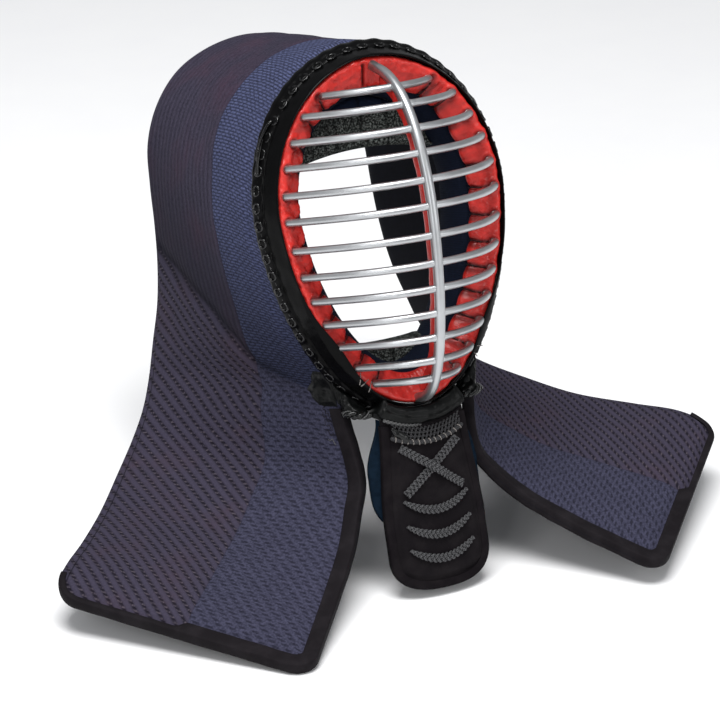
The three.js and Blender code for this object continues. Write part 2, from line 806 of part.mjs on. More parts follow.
// Tongue-shaped sheet that hangs from the chin guard
function tongue({ topHalfWidth, halfWidth, bottom, round, back, thickness, edge, reach }) {
  const widthAt = (drop) => topHalfWidth + (halfWidth - topHalfWidth) * smooth(drop / throatSpread);
  const pointAt = (drop, v) => {
    const x = v * widthAt(drop);
    const top = chinEdgeLevel(x) - 2 * clearance;
    const low = bottom + round * (1 - squareRound(v));
    const curve = throatCurve * Math.pow(x / throatHalfWidth, 2);
    return point(x, back + curve, top + (low - top) * drop);
  };
  const normalAt = (drop, v) => {
    const x = v * widthAt(drop);
    return point((2 * throatCurve * x) / (throatHalfWidth * throatHalfWidth), -1, 0).normalize();
  };
  const halfAt = (drop, v) => {
    const p = pointAt(drop, v);
    const side = (1 - Math.abs(v)) * widthAt(drop);
    const end = p.z - pointAt(1, v).z;
    return (edge + (thickness - edge) * smooth((Math.min(side, end) - reach) / throatRise)) / 2;
  };
  return { pointAt, normalAt, halfAt };
}

const throat = tongue({
  topHalfWidth: throatTopHalfWidth,
  halfWidth: throatHalfWidth,
  bottom: throatBottom,
  round: throatRound,
  back: 0,
  thickness: throatThickness,
  edge: throatEdge,
  reach: throatReach,
});
const guard = tongue({
  topHalfWidth: throatTopHalfWidth,
  halfWidth: guardHalfWidth,
  bottom: guardBottom,
  round: guardRound,
  back: throatThickness / 2 + guardThickness / 2 + guardGap,
  thickness: guardThickness,
  edge: guardEdge,
  reach: 0,
});

const throatAcross = [-1, -0.96, -0.86, -0.74, -0.4, 0, 0.4, 0.74, 0.86, 0.96, 1];
const throatDrops = [0, 0.2, 0.4, 0.6, 0.78, 0.88, 0.94, 1];
const guardAcross = [-1, -0.97, -0.86, -0.65, -0.33, 0, 0.33, 0.65, 0.86, 0.97, 1];
const guardDrops = [0, 0.2, 0.4, 0.6, 0.8, 1];

const throatFlap = () => sheet(throat.pointAt, throat.normalAt, throat.halfAt, throatDrops, throatAcross);
const innerGuard = () => sheet(guard.pointAt, guard.normalAt, guard.halfAt, guardDrops, guardAcross);

function throatBinding() {
  const drops = [throatBindingStart, ...throatDrops.slice(1)];
  const places = [
    ...drops.map((drop) => [drop, -1]),
    ...throatAcross.slice(1, -1).map((v) => [1, v]),
    ...[...drops].reverse().map((drop) => [drop, 1]),
  ];
  const inside = throat.pointAt(0.55, 0);
  const frames = edgeFrames(places, throat.pointAt, throat.normalAt, inside);
  return edgeBinding(frames, throatEdge / 2, throatWall, throatReach - throatBindingShort, bindingGap);
}

// Front face of the throat flap at a distance from the middle
const throatFront = (x, lift) =>
  throatCurve * Math.pow(x / throatHalfWidth, 2) - throatThickness / 2 - cordGap - cordThickness / 2 - lift;

// Flat cord sewn along a line of {x, z, lift} on the throat flap
function flatCord(line, width) {
  const half = width / 2;
  const rise = cordThickness / 2;
  const section = [
    [half * cordFlat, rise],
    [half, 0],
    [half * cordFlat, -rise],
    [-half * cordFlat, -rise],
    [-half, 0],
    [-half * cordFlat, rise],
  ];
  return tube(line.map((p) => point(p.x, throatFront(p.x, p.lift ?? 0), p.z)), section, point(0, -1, 0));
}

function cordLine(at) {
  return Array.from({ length: cordSteps + 1 }, (_, i) => at((2 * i) / cordSteps - 1));
}

const topCord = () =>
  flatCord(
    cordLine((t) => {
      const x = t * (throatTopHalfWidth - throatReach);
      return { x, z: chinEdgeLevel(x) - topCordWidth / 2 - topCordGap };
    }),
    topCordWidth,
  );

const rowCord = (level) =>
  flatCord(
    cordLine((t) => ({ x: t * rowHalfWidth, z: level - rowSag * (1 - t * t) })),
    cordWidth,
  );

// One stroke of the cross; the upper stroke rises over the lower one where they meet.
function crossCord(side, over) {
  const middle = (crossTop + crossBottom) / 2;
  const half = (crossTop - crossBottom) / 2;
  return flatCord(
    cordLine((t) => {
      const run = Math.abs(t) * Math.hypot(half, crossHalfWidth);
      const lift = over ? (cordThickness + clearance) * (1 - smooth((run - cordWidth) / cordWidth)) : 0;
      return { x: side * t * crossHalfWidth, z: middle - t * half, lift };
    }),
    cordWidth,
  );
}

// Leather lacing from beside the chin guard round to the hood's front edge
function lacing() {
  const start = rimPoint(1 - chinSpan, chinReach, 0);
  const end = point(flapHeadX, hoodFrontBack, flapHeadZ);
  const level = start.z + lacingLift;
  const route = new THREE.CatmullRomCurve3([
    point(start.x + lacingRadius, lacingFront, level),
    point((start.x + end.x) / 2 + lacingRadius, lacingFront, level + lacingRise),
    point(end.x + lacingSag, lacingFront + lacingBend, end.z - lacingSag),
    point(end.x, end.y - padEdge / 2, end.z - lacingSag),
  ]);
  return tube(route.getSpacedPoints(lacingSteps), roundSection(lacingRadius, lacingSides), upMen);
}

// Assembly

function named(name, geometry, colour, roughness, metalness = 0) {
  geometry.computeVertexNormals();
  const material = new THREE.MeshStandardMaterial({ color: colour, roughness, metalness });
  const mesh = new THREE.Mesh(geometry, material);
  mesh.name = name;
  return mesh;
}

const men = new THREE.Group();
men.add(
  named("padded_hood", paddedHood(), colours.pad, 0.9),
  named("hood_binding_left", hoodBinding(), colours.binding, 0.8),
  named("hood_binding_right", mirrored(hoodBinding()), colours.binding, 0.8),
  named("corner_patch_left", cornerPatch(), colours.leather, 0.55),
  named("corner_patch_right", mirrored(cornerPatch()), colours.leather, 0.55),
  named("face_grille", geometryOf(faceGrille()), colours.metal, 0.3, 1),
  named("centre_strip", geometryOf(centreStrip()), colours.red, 0.4),
  named("rim_lining", geometryOf(rimLining()), colours.red, 0.4),
  named("rim_band", rimSweep(bandSection), colours.lacquer, 0.2),
  named("pad_ring", padRing(), colours.indigo, 0.9),
  named("forehead_pad", innerPad(foreheadLevel, true), colours.velvet, 1),
  named("chin_pad", innerPad(chinLevel, false), colours.velvet, 1),
  named("chin_guard", chinGuard(), colours.leather, 0.5),
  named("throat_flap", throatFlap(), colours.throat, 0.85),
  named("throat_binding", throatBinding(), colours.binding, 0.8),
  named("inner_throat_guard", innerGuard(), colours.indigo, 0.9),
  named("throat_cord_top", topCord(), colours.cord, 0.7),
  named("throat_cord_cross_under", crossCord(-1, false), colours.cord, 0.7),
  named("throat_cord_cross_over", crossCord(1, true), colours.cord, 0.7),
  named("lacing_left", lacing(), colours.lacquer, 0.3),
  named("lacing_right", mirrored(lacing()), colours.lacquer, 0.3),
);
rowLevels.forEach((level, i) => {
  men.add(named(`throat_cord_row_${i + 1}`, rowCord(level), colours.cord, 0.7));
});

// The face sits against the back of the pad ring, halfway between the forehead pad and the chin pad.
men.position.set(0, -padRingBack, -(foreheadLevel + chinLevel) / 2);
const leaning = new THREE.Group();
leaning.rotation.x = THREE.MathUtils.degToRad(-leanBack);
leaning.add(men);

const part = new THREE.Group();
part.add(leaning);

export default part;
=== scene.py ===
import bmesh
import bpy
import numpy as np
from mathutils import Matrix, Vector


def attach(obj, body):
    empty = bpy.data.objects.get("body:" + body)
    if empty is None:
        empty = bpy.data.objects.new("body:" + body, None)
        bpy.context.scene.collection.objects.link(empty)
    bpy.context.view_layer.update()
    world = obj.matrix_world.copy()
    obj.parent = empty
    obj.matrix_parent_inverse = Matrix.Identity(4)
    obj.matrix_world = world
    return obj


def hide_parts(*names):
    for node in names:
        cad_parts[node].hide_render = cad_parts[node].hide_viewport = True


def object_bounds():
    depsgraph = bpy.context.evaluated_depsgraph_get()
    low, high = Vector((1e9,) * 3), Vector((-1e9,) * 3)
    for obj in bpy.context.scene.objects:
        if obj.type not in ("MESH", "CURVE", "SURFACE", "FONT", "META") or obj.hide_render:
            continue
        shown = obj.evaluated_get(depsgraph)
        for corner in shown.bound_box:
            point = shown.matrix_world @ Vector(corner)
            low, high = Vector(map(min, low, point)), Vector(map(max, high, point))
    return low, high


# A kendo men, dressed. Sizes are in millimetres in the men's own upright frame: +X is to the wearer's left,
# +Y is back, +Z is up, and the centre of the face ring is the zero point. A mesh is turned into the part's
# leaning frame, in metres, as it is made. Surfaces carry their real lengths, in millimetres, as UVs.

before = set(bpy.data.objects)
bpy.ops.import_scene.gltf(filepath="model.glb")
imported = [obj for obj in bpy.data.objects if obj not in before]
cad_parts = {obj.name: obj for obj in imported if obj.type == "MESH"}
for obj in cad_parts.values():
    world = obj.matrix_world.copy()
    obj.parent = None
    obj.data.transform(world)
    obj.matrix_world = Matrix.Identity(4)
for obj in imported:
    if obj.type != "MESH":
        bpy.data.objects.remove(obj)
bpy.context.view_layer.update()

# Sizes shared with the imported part
LEAN_BACK = 18
RING_HALF_WIDTH = 87.5
RING_RISE = 101.5
RING_FALL = 146
RING_WIDEST_LEVEL = 22
CHIN_TAPER = 1.7
BAR_RADIUS = 2.7
BAR_INSET = 5.5
BAR_SEAT = 7
GRILLE_BULGE = 62.5
BAR_CURVE = 2.3
BULGE_EASE = 0.85
CROSS_BAR_LEVELS = np.array([
    0.823, 0.723, 0.588, 0.451, 0.3, 0.152, -0.014, -0.171, -0.316, -0.459, -0.599, -0.733, -0.842,
])
LINING_SLOPE = 11
LINING_THICKNESS = 14
BAND_SPREAD = 11
BAND_DEPTH = 23.5
BAND_TUCK = 1
PAD_THICKNESS = 8
PAD_EDGE = 5
HOOD_BACK_HALF_WIDTH = 90.5
HOOD_BACK_TOP = 140.5
HOOD_DEPTH = 220
HOOD_FRONT = BAND_DEPTH + 1
HOOD_FRONT_TUCK = 0.5
HOOD_LEAVES_RIM = 0.835
FLAP_CORNER = 18
FLAP_HEAD = (50, -122)
FLAP_REAR = (120, 210, -120)
FRONT_REACH = (91, 88, 153)
REAR_REACH = (152, 148, 88)
# Rear edge of the hood from the crown down: out and up as shares of its half width and top
HOOD_BACK_SECTIONS = (
    (0, 1), (0.2, 0.988), (0.387, 0.954), (0.53, 0.912), (0.685, 0.84), (0.807, 0.744), (0.906, 0.648),
    (0.972, 0.502), (1, 0.285), (1.022, -0.036), (1.1, -0.356), (1.177, -0.52), (1.276, -0.726),
)
# A flap's sections from the chin to the tip: out, forward and down along the front edge, then the rear edge
FLAP_SECTIONS = (
    (0, 0, 0, 0, 0, 0),
    (-0.045, 0.066, 0.297, 0.184, 0.115, 0.2125),
    (0.055, 0.134, 0.449, 0.296, 0.23, 0.3875),
    (0.231, 0.293, 0.601, 0.513, 0.473, 0.6),
    (0.527, 0.543, 0.772, 0.711, 0.709, 0.7375),
    (0.824, 0.816, 0.918, 0.868, 0.878, 0.8375),
    (1, 1, 1, 1, 1, 1),
)
HOOD_ROWS = 10
BINDING_REACH = 10
BINDING_RISE = 7
OPEN_EDGE_RISE = 6
PAD_RING_OUTER = 1
PAD_RING_INNER = 28
PAD_RING_BACK = 58
FOREHEAD_LEVEL = 51
CHIN_LEVEL = -82
INNER_PAD_FRONT = 34
INNER_PAD_BACK = 56
FOREHEAD_ARCH = 7
CHIN_ARCH = -1
CHIN_PAD_LIFT = 1.5
INNER_PAD_SQUARENESS = 0.45
INNER_SEAM_STEP = 20.5
RING_CUSHIONS = 28
CHIN_REACH = 15.5
CHIN_SPAN = 0.088
THROAT_TOP_HALF_WIDTH = 32
THROAT_HALF_WIDTH = 38
THROAT_BOTTOM = -257
THROAT_ROUND = 26
THROAT_SPREAD = 0.8
THROAT_THICKNESS = 7
THROAT_EDGE = 4
THROAT_CURVE = 4
THROAT_SQUARENESS = 2.6
GUARD_HALF_WIDTH = 43
GUARD_BOTTOM = -217
GUARD_ROUND = 34
GUARD_THICKNESS = 4.6
CORD_WIDTH = 7
CORD_THICKNESS = 2.4
TOP_CORD_GAP = 1.8
CROSS_TOP = -153
CROSS_BOTTOM = -187
CROSS_HALF_WIDTH = 22.5
ROW_HALF_WIDTH = 25
ROW_LEVELS = (-191.5, -209.5, -227)
ROW_SAG = 9.5
LACING_RADIUS = 3.2

# How the flaps hang in the photograph: the one on the wearer's right lower, the other one higher
FLAP_SAG = 7

MIDDLE = ((RING_WIDEST_LEVEL + RING_RISE) + (RING_WIDEST_LEVEL - RING_FALL)) / 2
HALF_HEIGHT = (RING_RISE + RING_FALL) / 2
BAR_HEIGHTS = MIDDLE + CROSS_BAR_LEVELS * HALF_HEIGHT


def to_part(points):
    """Points of the men's upright frame, in millimetres, as points of the part's frame, in metres."""
    moved = np.asarray(points, float) + (0, -PAD_RING_BACK, -(FOREHEAD_LEVEL + CHIN_LEVEL) / 2)
    lean = np.radians(LEAN_BACK)
    turn = np.array([
        [1, 0, 0],
        [0, np.cos(lean), -np.sin(lean)],
        [0, np.sin(lean), np.cos(lean)],
    ])
    return moved @ turn / 1000


def smooth(t):
    t = np.clip(t, 0, 1)
    return t * t * (3 - 2 * t)


def unit(v):
    return v / np.maximum(np.linalg.norm(v, axis=-1, keepdims=True), 1e-9)


def bell(distance, width):
    return np.exp(-((distance / width) ** 2))


def run_of(line):
    """How far along a line each of its points lies."""
    return np.concatenate([[0], np.cumsum(np.linalg.norm(np.diff(line, axis=0), axis=1))])


def walked(line, count, closed=False):
    """Points spaced evenly along a line."""
    run = run_of(line)
    want = np.linspace(0, run[-1], count + closed)[:count]
    return np.stack([np.interp(want, run, line[:, i]) for i in range(line.shape[1])], -1)


def eased(count):
    """Numbers from 0 to 1, closer together at both ends."""
    return 0.5 - 0.5 * np.cos(np.linspace(0, np.pi, count))


def crossed(rows, cols):
    return np.meshgrid(rows, cols, indexing="ij")


def spline(points, count, closed=False):
    """Evenly spaced points on a smooth curve through a few points."""
    p = np.asarray(points, float)
    if closed:
        p = np.concatenate([p[-1:], p, p[:2]])
    else:
        p = np.concatenate([2 * p[:1] - p[1:2], p, 2 * p[-1:] - p[-2:-1]])
    spans = len(p) - 3
    fine = np.linspace(0, spans, spans * 24 + 1)
    k = np.minimum(fine.astype(int), spans - 1)
    t = (fine - k)[:, None]
    a, b, c, d = (p[k + i] for i in range(4))
    pairs = ((a, b), (b, c), (c, d))
    first, second, third = (np.sqrt(np.linalg.norm(q - o, axis=1, keepdims=True)) for o, q in pairs)
    leave = second * ((b - a) / first - (c - a) / (first + second) + (c - b) / second)
    reach = second * ((c - b) / second - (d - b) / (second + third) + (d - c) / third)
    line = b + leave * t + (3 * (c - b) - 2 * leave - reach) * t**2 + (2 * (b - c) + leave + reach) * t**3
    return walked(line, count, closed)


# Ring outline, walked from the crown to the chin on the wearer's left

walk_angles = np.linspace(0, np.pi, 2401)
walk_lift = np.where(
    np.cos(walk_angles) >= 0,
    RING_RISE * np.cos(walk_angles),
    -RING_FALL * np.abs(np.cos(walk_angles)) ** (2 / CHIN_TAPER),
)
WALK = np.stack([RING_HALF_WIDTH * np.sin(walk_angles), RING_WIDEST_LEVEL + walk_lift], -1)
WALK_RUN = run_of(WALK)
RING_HALF_LENGTH = WALK_RUN[-1]


def walk_at(share):
    """Point of the outline; the share may run past the crown (0) and the chin (1)."""
    turned = np.where((share < 0) | (share > 1), -1, 1)
    folded = np.where(share < 0, -share, np.where(share > 1, 2 - share, share))
    at = folded * RING_HALF_LENGTH
    return np.stack([np.interp(at, WALK_RUN, WALK[:, 0]) * turned, np.interp(at, WALK_RUN, WALK[:, 1])], -1)


def rim_point(share, out, back):
    """Point out from the outline and back from the ring plane; share 0 is the crown, 1 the chin."""
    share, out, back = np.broadcast_arrays(*(np.asarray(x, float) for x in (share, out, back)))
    share = np.mod(share, 2)
    half = np.where(share > 1, 2 - share, share)
    side = np.where(share > 1, -1, 1)
    step = 0.004
    at = walk_at(half)
    along = unit(walk_at(half + step) - walk_at(half - step))
    return np.stack([
        (at[..., 0] - along[..., 1] * out) * side,
        back,
        at[..., 1] + along[..., 0] * out,
    ], -1)


SHARES = np.linspace(0, 1, 1201)


def share_at(level, inset):
    """Share of the half outline at which a line inset from it reaches a level."""
    levels = rim_point(SHARES[1:-1], -inset, 0)[:, 2]
    return np.interp(-np.asarray(level, float), -levels, SHARES[1:-1])


def half_width_at(level, inset):
    return np.maximum(rim_point(share_at(level, inset), -inset, 0)[..., 0], 0)


# Padded hood's middle surface

def hood_edges():
    """Front and rear edge, section by section from the crown to a tip, with one section beyond each end."""
    rear = [(out * HOOD_BACK_HALF_WIDTH, HOOD_DEPTH, up * HOOD_BACK_TOP) for out, up in HOOD_BACK_SECTIONS]
    rear = list(spline(rear, HOOD_ROWS + 1))
    front_out = BAND_SPREAD - BAND_TUCK - PAD_THICKNESS / 2 + HOOD_FRONT_TUCK
    front = list(rim_point(np.linspace(0, HOOD_LEAVES_RIM, HOOD_ROWS + 1), front_out, HOOD_FRONT))
    for out, forward, down, rear_out, rear_forward, rear_down in FLAP_SECTIONS:
        front.append((
            FLAP_HEAD[0] + out * FRONT_REACH[0],
            HOOD_FRONT - forward * FRONT_REACH[1],
            FLAP_HEAD[1] - down * FRONT_REACH[2],
        ))
        rear.append((
            FLAP_REAR[0] + rear_out * REAR_REACH[0],
            FLAP_REAR[1] - rear_forward * REAR_REACH[1],
            FLAP_REAR[2] - rear_down * REAR_REACH[2],
        ))
    rear = np.array(rear)
    bend = np.arange(HOOD_ROWS - 1, HOOD_ROWS + 4)
    for _ in range(2):
        rear[bend] = (rear[bend - 1] + 2 * rear[bend] + rear[bend + 1]) / 4
    edges = []
    for line in (np.array(front), rear):
        edges.append(np.concatenate([line[1:2] * (-1, 1, 1), line, 2 * line[-1:] - line[-2:-1]]))
    return edges


FRONT_EDGE, REAR_EDGE = hood_edges()
HOOD_SPANS = len(FRONT_EDGE) - 3
TIP_WIDTH = np.linalg.norm(FRONT_EDGE[-2] - REAR_EDGE[-2])
TIP_STEP = np.linalg.norm(FRONT_EDGE[-2] - FRONT_EDGE[-3])
FLAP_PLACE = HOOD_ROWS  # section at which the hood leaves the rim


def edge_line(rows, place):
    place = np.abs(place)
    k = np.clip(np.floor(place), 0, HOOD_SPANS - 1).astype(int)
    t = (place - k)[..., None]
    a, b, c, d = (rows[k + i] for i in range(4))
    return (
        a * (((2 - t) * t - 1) * t * 0.5)
        + b * ((t * t * (3 * t - 5) + 2) * 0.5)
        + c * (((4 - 3 * t) * t + 1) * t * 0.5)
        + d * ((t - 1) * t * t * 0.5)
    )


def hood_point(place, share):
    """Middle surface: place is the signed section number from the crown, share runs from front to rear."""
    place, share = np.broadcast_arrays(np.asarray(place, float), np.asarray(share, float))
    p = edge_line(FRONT_EDGE, place) * (1 - share[..., None]) + edge_line(REAR_EDGE, place) * share[..., None]
    side = np.where(place < 0, -1, 1)
    p[..., 0] *= side
    hang = smooth((np.abs(place) - FLAP_PLACE + 1) / (HOOD_SPANS - FLAP_PLACE))
    p[..., 2] += side * FLAP_SAG * hang
    return p


def hood_normal(place, share):
    """Direction away from the hood's hollow."""
    step = 0.04
    near = np.clip(share, 0.02, 0.98)
    along = hood_point(place + step, share) - hood_point(place - step, share)
    across = hood_point(place, near + 0.02) - hood_point(place, near - 0.02)
    return unit(np.cross(along, across))


def tip_setback(share):
    """How far the rounded tip corners take the edge back, in sections."""
    rest = np.maximum(FLAP_CORNER - np.minimum(share, 1 - share) * TIP_WIDTH, 0)
    return (FLAP_CORNER - np.sqrt(np.maximum(FLAP_CORNER**2 - rest**2, 0))) / TIP_STEP


def tip_distance(place, share):
    """Distance from the rounded edge of the nearer tip, in millimetres."""
    return (HOOD_SPANS - tip_setback(share) - np.abs(place)) * TIP_STEP


BORDER = BINDING_REACH + BINDING_RISE  # strip along a tip that follows its rounded edge
BORDER_START = 0.967  # of the way from the crown to a tip


def station_place(station, share):
    """Place for a station, which runs from -1 at one tip over 0 at the crown to 1 at the other tip."""
    end = HOOD_SPANS - tip_setback(share)
    far = np.clip((np.abs(station) - BORDER_START) / (1 - BORDER_START), 0, 1)
    free = np.minimum(np.abs(station) / BORDER_START, 1)
    return np.sign(station) * (free * (end - BORDER / TIP_STEP) + far * BORDER / TIP_STEP)


TIP_SEAM_SHARE = 0.49


def narrowing(share):
    """Width of a tip's binding as a share of its full width: it is narrow behind the hood's seam."""
    return 1 - 0.7 * smooth((share - TIP_SEAM_SHARE) / 0.04)


def pad_half_thickness(place, share):
    """Half the pad's thickness, which thins under the bindings and along the open rear edge."""
    tip_room = tip_distance(place, share) - BINDING_REACH * narrowing(share)
    bound = smooth(np.minimum(share * TIP_WIDTH - BINDING_REACH, tip_room) / BINDING_RISE)
    open_edge = smooth((1 - share) * TIP_WIDTH / OPEN_EDGE_RISE)
    return (PAD_EDGE + (PAD_THICKNESS - PAD_EDGE) * np.minimum(bound, open_edge)) / 2


def soft_noise(x, y, size, seed):
    """Smooth random hills, from -1 to 1, a given size apart."""
    grid = np.random.RandomState(seed).uniform(-1, 1, (64, 64))
    x, y = np.asarray(x, float) / size, np.asarray(y, float) / size
    i, j = np.floor(x).astype(int), np.floor(y).astype(int)
    s, t = smooth(x - i), smooth(y - j)
    corner = [[grid[(i + a) % 64, (j + b) % 64] for b in (0, 1)] for a in (0, 1)]
    low = corner[0][0] * (1 - s) + corner[1][0] * s
    high = corner[0][1] * (1 - s) + corner[1][1] * s
    return low * (1 - t) + high * t


def hills(x, y, *layers):
    """Sum of random hills, each layer given as height, size and seed."""
    return sum(height * soft_noise(x, y, size, seed) for height, size, seed in layers)


# Making meshes

class Shape:
    """Points, faces, lengths and named marks of one mesh, gathered part by part."""

    def __init__(self):
        self.points = np.zeros((0, 3))
        self.faces = []
        self.lengths = []
        self.marks = {}
        self.finishes = []

    def grid(self, points, closed_rows=False, closed_cols=False, lengths=None, finish=0, caps=False, **marks):
        """Adds a grid of points as quads; a closed direction joins its last line to its first."""
        rows, cols = points.shape[:2]
        index = np.arange(rows * cols).reshape(rows, cols) + len(self.points)
        loop = points
        if closed_rows:
            index, loop = np.concatenate([index, index[:1]]), np.concatenate([loop, loop[:1]])
        if closed_cols:
            index, loop = np.concatenate([index, index[:, :1]], 1), np.concatenate([loop, loop[:, :1]], 1)
        if lengths is None:
            down = np.linalg.norm(np.diff(loop, axis=0), axis=-1).mean(1)
            over = np.linalg.norm(np.diff(loop, axis=1), axis=-1).mean(0)
            runs = [np.concatenate([[0], np.cumsum(steps)]) for steps in (down, over)]
            lengths = np.stack(np.meshgrid(*runs, indexing="ij"), -1)
        for source, gathered in ((index, self.faces), (lengths, self.lengths)):
            corners = [source[:-1, :-1], source[1:, :-1], source[1:, 1:], source[:-1, 1:]]
            quads = np.stack(corners, 2).reshape(-1, 4, *source.shape[2:])
            gathered.extend(quads.tolist())
        self.finishes += [finish] * ((len(index) - 1) * (len(index[0]) - 1))
        for name in {*self.marks, *marks}:
            old = self.marks.get(name, np.zeros(len(self.points)))
            new = np.broadcast_to(marks.get(name, 0.0), (rows, cols)).reshape(-1)
            self.marks[name] = np.concatenate([old, new])
        self.points = np.concatenate([self.points, points.reshape(-1, 3)])
        if caps:
            for ring in (index[0, :cols], index[-1, :cols]):
                self.faces.append(ring.tolist())
                self.lengths.append([[0.0, 0.0]] * cols)
                self.finishes.append(finish)

    def rod(self, path, radius, sides=8, up=(0, 0, 1), finish=0, closed=False, flat=1.0, **marks):
        """Adds a round rod along a path, with domed ends; flat is its height as a share of its width."""
        path = np.asarray(path, float)
        radius = np.broadcast_to(np.asarray(radius, float), len(path))
        along, across, top = frames_along(path, up, closed)
        if not closed:
            dome = np.radians([20, 50, 78])
            start = path[:1] - along[:1] * radius[:1, None] * np.sin(dome[::-1])[:, None]
            finish_off = path[-1:] + along[-1:] * radius[-1:, None] * np.sin(dome)[:, None]
            path = np.concatenate([start, path, finish_off])
            radius = np.concatenate([radius[0] * np.cos(dome[::-1]), radius, radius[-1] * np.cos(dome)])
            across = np.concatenate([across[:1].repeat(3, 0), across, across[-1:].repeat(3, 0)])
            top = np.concatenate([top[:1].repeat(3, 0), top, top[-1:].repeat(3, 0)])
        angles = np.linspace(0, 2 * np.pi, sides, endpoint=False)
        ring = across[:, None] * np.cos(angles)[:, None] + top[:, None] * np.sin(angles)[:, None] * flat
        points = path[:, None] + ring * radius[:, None, None]
        self.grid(points, closed_rows=closed, closed_cols=True, finish=finish, caps=not closed, **marks)

    def build(self, name, finishes, place=to_part):
        mesh = bpy.data.meshes.new(name)
        mesh.from_pydata(place(self.points).tolist(), [], self.faces)
        layer = mesh.uv_layers.new(name="lengths")
        layer.data.foreach_set("uv", np.concatenate([np.ravel(face) for face in self.lengths]))
        for mark, values in self.marks.items():
            mesh.attributes.new(mark, "FLOAT", "POINT").data.foreach_set("value", values)
        mesh.polygons.foreach_set("material_index", self.finishes)
        mesh.shade_smooth()
        for finish in finishes:
            mesh.materials.append(finish)
        working = bmesh.new()
        working.from_mesh(mesh)
        bmesh.ops.recalc_face_normals(working, faces=working.faces)
        working.to_mesh(mesh)
        working.free()
        piece = bpy.data.objects.new(name, mesh)
        bpy.context.scene.collection.objects.link(piece)
        return piece


def frames_along(path, up, closed=False):
    """Unit vectors along, across and up at each point of a path."""
    if closed:
        along = unit(np.roll(path, -1, 0) - np.roll(path, 1, 0))
    else:
        along = unit(np.gradient(path, axis=0))
    across = unit(np.cross(along, np.broadcast_to(up, path.shape)))
    return along, across, np.cross(across, along)


def grid_normals(points, closed_rows=False, closed_cols=False):
    """Unit normals of a grid of points."""
    def steps(axis, closed):
        if closed:
            return np.roll(points, -1, axis) - np.roll(points, 1, axis)
        return np.gradient(points, axis=axis)
    return unit(np.cross(steps(0, closed_rows), steps(1, closed_cols)))


def rounded(corners, rounds=3):
    """A closed section with its corners cut off again and again until it is round."""
    section = np.asarray(corners, float)
    for _ in range(rounds):
        after = np.roll(section, -1, 0)
        section = np.stack([0.75 * section + 0.25 * after, 0.25 * section + 0.75 * after], 1).reshape(-1, 2)
    return section


def finer(values, count, axis=0, closed=False):
    """Values resampled evenly along one axis of a grid."""
    values = np.moveaxis(np.asarray(values, float), axis, 0)
    if closed:
        values = np.concatenate([values, values[:1]])
    at = np.linspace(0, len(values) - 1, count + closed)[:count]
    low = np.minimum(at.astype(int), len(values) - 2)
    t = smooth(at - low) * 0.5 + (at - low) * 0.5
    t = t.reshape(-1, *[1] * (values.ndim - 1))
    return np.moveaxis(values[low] * (1 - t) + values[low + 1] * t, 0, axis)


def finer_grid(values, rows, cols, closed_rows=False):
    return finer(finer(values, rows, closed=closed_rows), cols, axis=1, closed=True)


def swollen(points, held, pressure, most, closed_rows=False, steps=16):
    """Offsets of a padded form after a cloth simulation with air in it. Held places keep where they are."""
    shape = Shape()
    shape.grid(points, closed_rows=closed_rows, closed_cols=True, caps=not closed_rows)
    pad = shape.build("pad_in_work", [], place=lambda p: p / 1000)
    group = pad.vertex_groups.new(name="held")
    for index, weight in enumerate(np.ravel(held)):
        group.add([index], float(weight), "REPLACE")
    cloth = pad.modifiers.new("Cloth", "CLOTH")
    cloth.collision_settings.use_collision = False
    settings = cloth.settings
    settings.quality = 6
    settings.mass = 0.15
    settings.tension_stiffness = 12
    settings.compression_stiffness = 12
    settings.shear_stiffness = 6
    settings.bending_stiffness = 1.5
    settings.use_pressure = True
    settings.uniform_pressure_force = pressure
    settings.vertex_group_mass = "held"
    settings.effector_weights.gravity = 0
    scene = bpy.context.scene
    for step in range(1, steps + 1):
        scene.frame_set(step)
    worked = pad.evaluated_get(bpy.context.evaluated_depsgraph_get())
    mesh = worked.to_mesh()
    moved = np.zeros(len(mesh.vertices) * 3)
    mesh.vertices.foreach_get("co", moved)
    worked.to_mesh_clear()
    bpy.data.objects.remove(pad)
    scene.frame_set(1)
    offset = moved.reshape(points.shape) * 1000 - points
    far = np.linalg.norm(offset, axis=-1, keepdims=True)
    return offset * np.minimum(1, most / np.maximum(far, 1e-6))


# Finishes

def rgb(red, green, blue):
    """A colour read as screen values from 0 to 255, as a shader takes it."""
    values = np.array([red, green, blue]) / 255
    linear = np.where(values <= 0.04045, values / 12.92, ((values + 0.055) / 1.055) ** 2.4)
    return (*linear.tolist(), 1.0)


class Wire:
    """An output of a node. Sums with it add Math nodes."""

    def __init__(self, finish, socket):
        self.finish = finish
        self.socket = socket

    def math(self, operation, *values):
        return self.finish.node("Math", {"operation": operation}, dict(enumerate(values)))

    def __add__(self, other):
        return self.math("ADD", self, other)

    def __sub__(self, other):
        return self.math("SUBTRACT", self, other)

    def __rsub__(self, other):
        return self.math("SUBTRACT", other, self)

    def __mul__(self, other):
        return self.math("MULTIPLY", self, other)

    def __truediv__(self, other):
        return self.math("DIVIDE", self, other)

    __radd__ = __add__
    __rmul__ = __mul__

    def floor(self):
        return self.math("FLOOR", self)

    def fract(self):
        return self.math("FRACT", self)

    def size(self):
        return self.math("ABSOLUTE", self)

    def wave(self, phase=0.0):
        """A wave from 0 to 1 that repeats with each whole number."""
        return self.math("SINE", (self + phase) * (2 * np.pi)) * 0.5 + 0.5

    def step(self, low, high):
        """0 below low, 1 above high, smooth between them; low may be the larger."""
        settings = {"interpolation_type": "SMOOTHSTEP"}
        return self.finish.node("MapRange", settings, {0: self, 1: low, 2: high})


